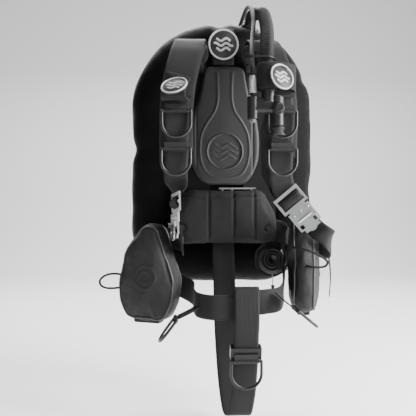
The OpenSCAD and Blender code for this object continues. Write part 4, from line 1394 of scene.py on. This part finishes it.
class PACK_OT_fittings(bpy.types.Operator):
    """Gives the metal and plastic CAD parts their finishes"""
    bl_idname = "pack.fittings"
    bl_label = "Fittings"

    def execute(self, context):
        finishes = {
            "bright steel": ["buckle_frames", "buckle_tongues", "buckle_lever_l",
                             "buckle_lever_r", "buckle_rivets", "plate_bar", "lp_hose_end"],
            # The rings' steel colour holds painted shade.
            "ring steel": ["ring_upper_l", "ring_upper_r", "ring_lower_l", "ring_lower_r",
                           "ring_waist_l", "ring_waist_r", "wing_grommets"],
            "plate steel": ["backplate", "inflate_spring", "deflate_spring", "dump_spring"],
            "knurled steel": ["lp_coupling"],
            "black plastic": ["wing_elbow", "hose_bands", "deflate_button", "dump_body",
                              "dump_knob", "pad_screws", "crotch_slider", "crotch_ring"],
            "grey plastic": ["inflate_button", "dump_poppet"],
            "cell cloth": ["wing_panel"],
            "knit cloth": ["ring_keepers"]}
        for finish, names in finishes.items():
            for name in names:
                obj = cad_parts[name]
                obj.data.materials.clear()
                obj.data.materials.append(finish_for(finish))
        return {"FINISHED"}


class PACK_PG_sizes(bpy.types.PropertyGroup):
    """Sizes that may be changed without leaving the CAD model's box."""
    fold_depth: bpy.props.FloatProperty(
        name="Fold Depth", description="Depth of the folds round the air cell's inner edge",
        default=0.005, min=0.0, max=0.009, unit="LENGTH")
    rib_pitch: bpy.props.FloatProperty(
        name="Rib Pitch", description="Distance between the ribs of the inflator hose",
        default=0.0044, min=0.003, max=0.008, unit="LENGTH")
    stitch_pitch: bpy.props.FloatProperty(
        name="Stitch Pitch", description="Distance between stitches",
        default=0.0042, min=0.003, max=0.008, unit="LENGTH")
    pad_pressure: bpy.props.FloatProperty(
        name="Pad Pressure", description="How hard the padded pieces are filled",
        default=4.0, min=0.0, max=8.0)


def colour_property(label, about, default):
    """A colour the user may change."""
    return bpy.props.FloatVectorProperty(
        name=label, description=about, default=default, min=0.0, max=1.0, size=3,
        subtype="COLOR")


class PACK_PG_colours(bpy.types.PropertyGroup):
    """Base colours of the finishes."""
    cell: colour_property("Air Cell", "Cloth of the air cell", (0.0014, 0.0014, 0.0016))
    pocket: colour_property("Pockets", "Cloth of the weight pockets", (0.006, 0.006, 0.0065))
    pad: colour_property("Pads", "Cloth of the pads", (0.009, 0.009, 0.0095))
    webbing: colour_property("Webbing", "Harness webbing", (0.0075, 0.0075, 0.0075))
    moulded: colour_property("Moulded Pad", "Moulded back pad", (0.016, 0.016, 0.0165))
    print: colour_property("Print", "Raised print of the badges", (0.42, 0.42, 0.42))
    plastic: colour_property("Plastic", "Valves and fittings", (0.006, 0.006, 0.0065))
    steel: colour_property("Steel", "Bright metal", (0.66, 0.67, 0.68))


STEPS = [PACK_OT_camera, PACK_OT_cords, PACK_OT_stage, PACK_OT_cell, PACK_OT_hoses,
         PACK_OT_shoulders, PACK_OT_straps, PACK_OT_back_pad, PACK_OT_lumbar, PACK_OT_pockets,
         PACK_OT_badges, PACK_OT_inflator, PACK_OT_dump_valve, PACK_OT_stitching,
         PACK_OT_fittings]


class PACK_PT_panel(bpy.types.Panel):
    """Lists the pack's pieces and the sizes and colours that may be changed"""
    bl_idname = "PACK_PT_panel"
    bl_label = "Buoyancy Pack"
    bl_space_type = "VIEW_3D"
    bl_region_type = "UI"
    bl_category = "Buoyancy Pack"

    def draw(self, context):
        for group in (context.scene.pack_sizes, context.scene.pack_colours):
            for key in type(group).__annotations__:
                self.layout.prop(group, key)
        for step in STEPS:
            self.layout.operator(step.bl_idname)


CLASSES = [PACK_PG_sizes, PACK_PG_colours, *STEPS, PACK_PT_panel]


def register():
    """Adds the classes and the scene's settings."""
    for cls in CLASSES:
        bpy.utils.register_class(cls)
    bpy.types.Scene.pack_sizes = bpy.props.PointerProperty(type=PACK_PG_sizes)
    bpy.types.Scene.pack_colours = bpy.props.PointerProperty(type=PACK_PG_colours)


def unregister():
    """Takes the classes and the scene's settings away."""
    del bpy.types.Scene.pack_colours
    del bpy.types.Scene.pack_sizes
    for cls in reversed(CLASSES):
        bpy.utils.unregister_class(cls)


def main():
    """Builds every piece in order."""
    register()
    for step in STEPS:
        group, name = step.bl_idname.split(".")
        getattr(getattr(bpy.ops, group), name)()


if __name__ == "__main__":
    main()
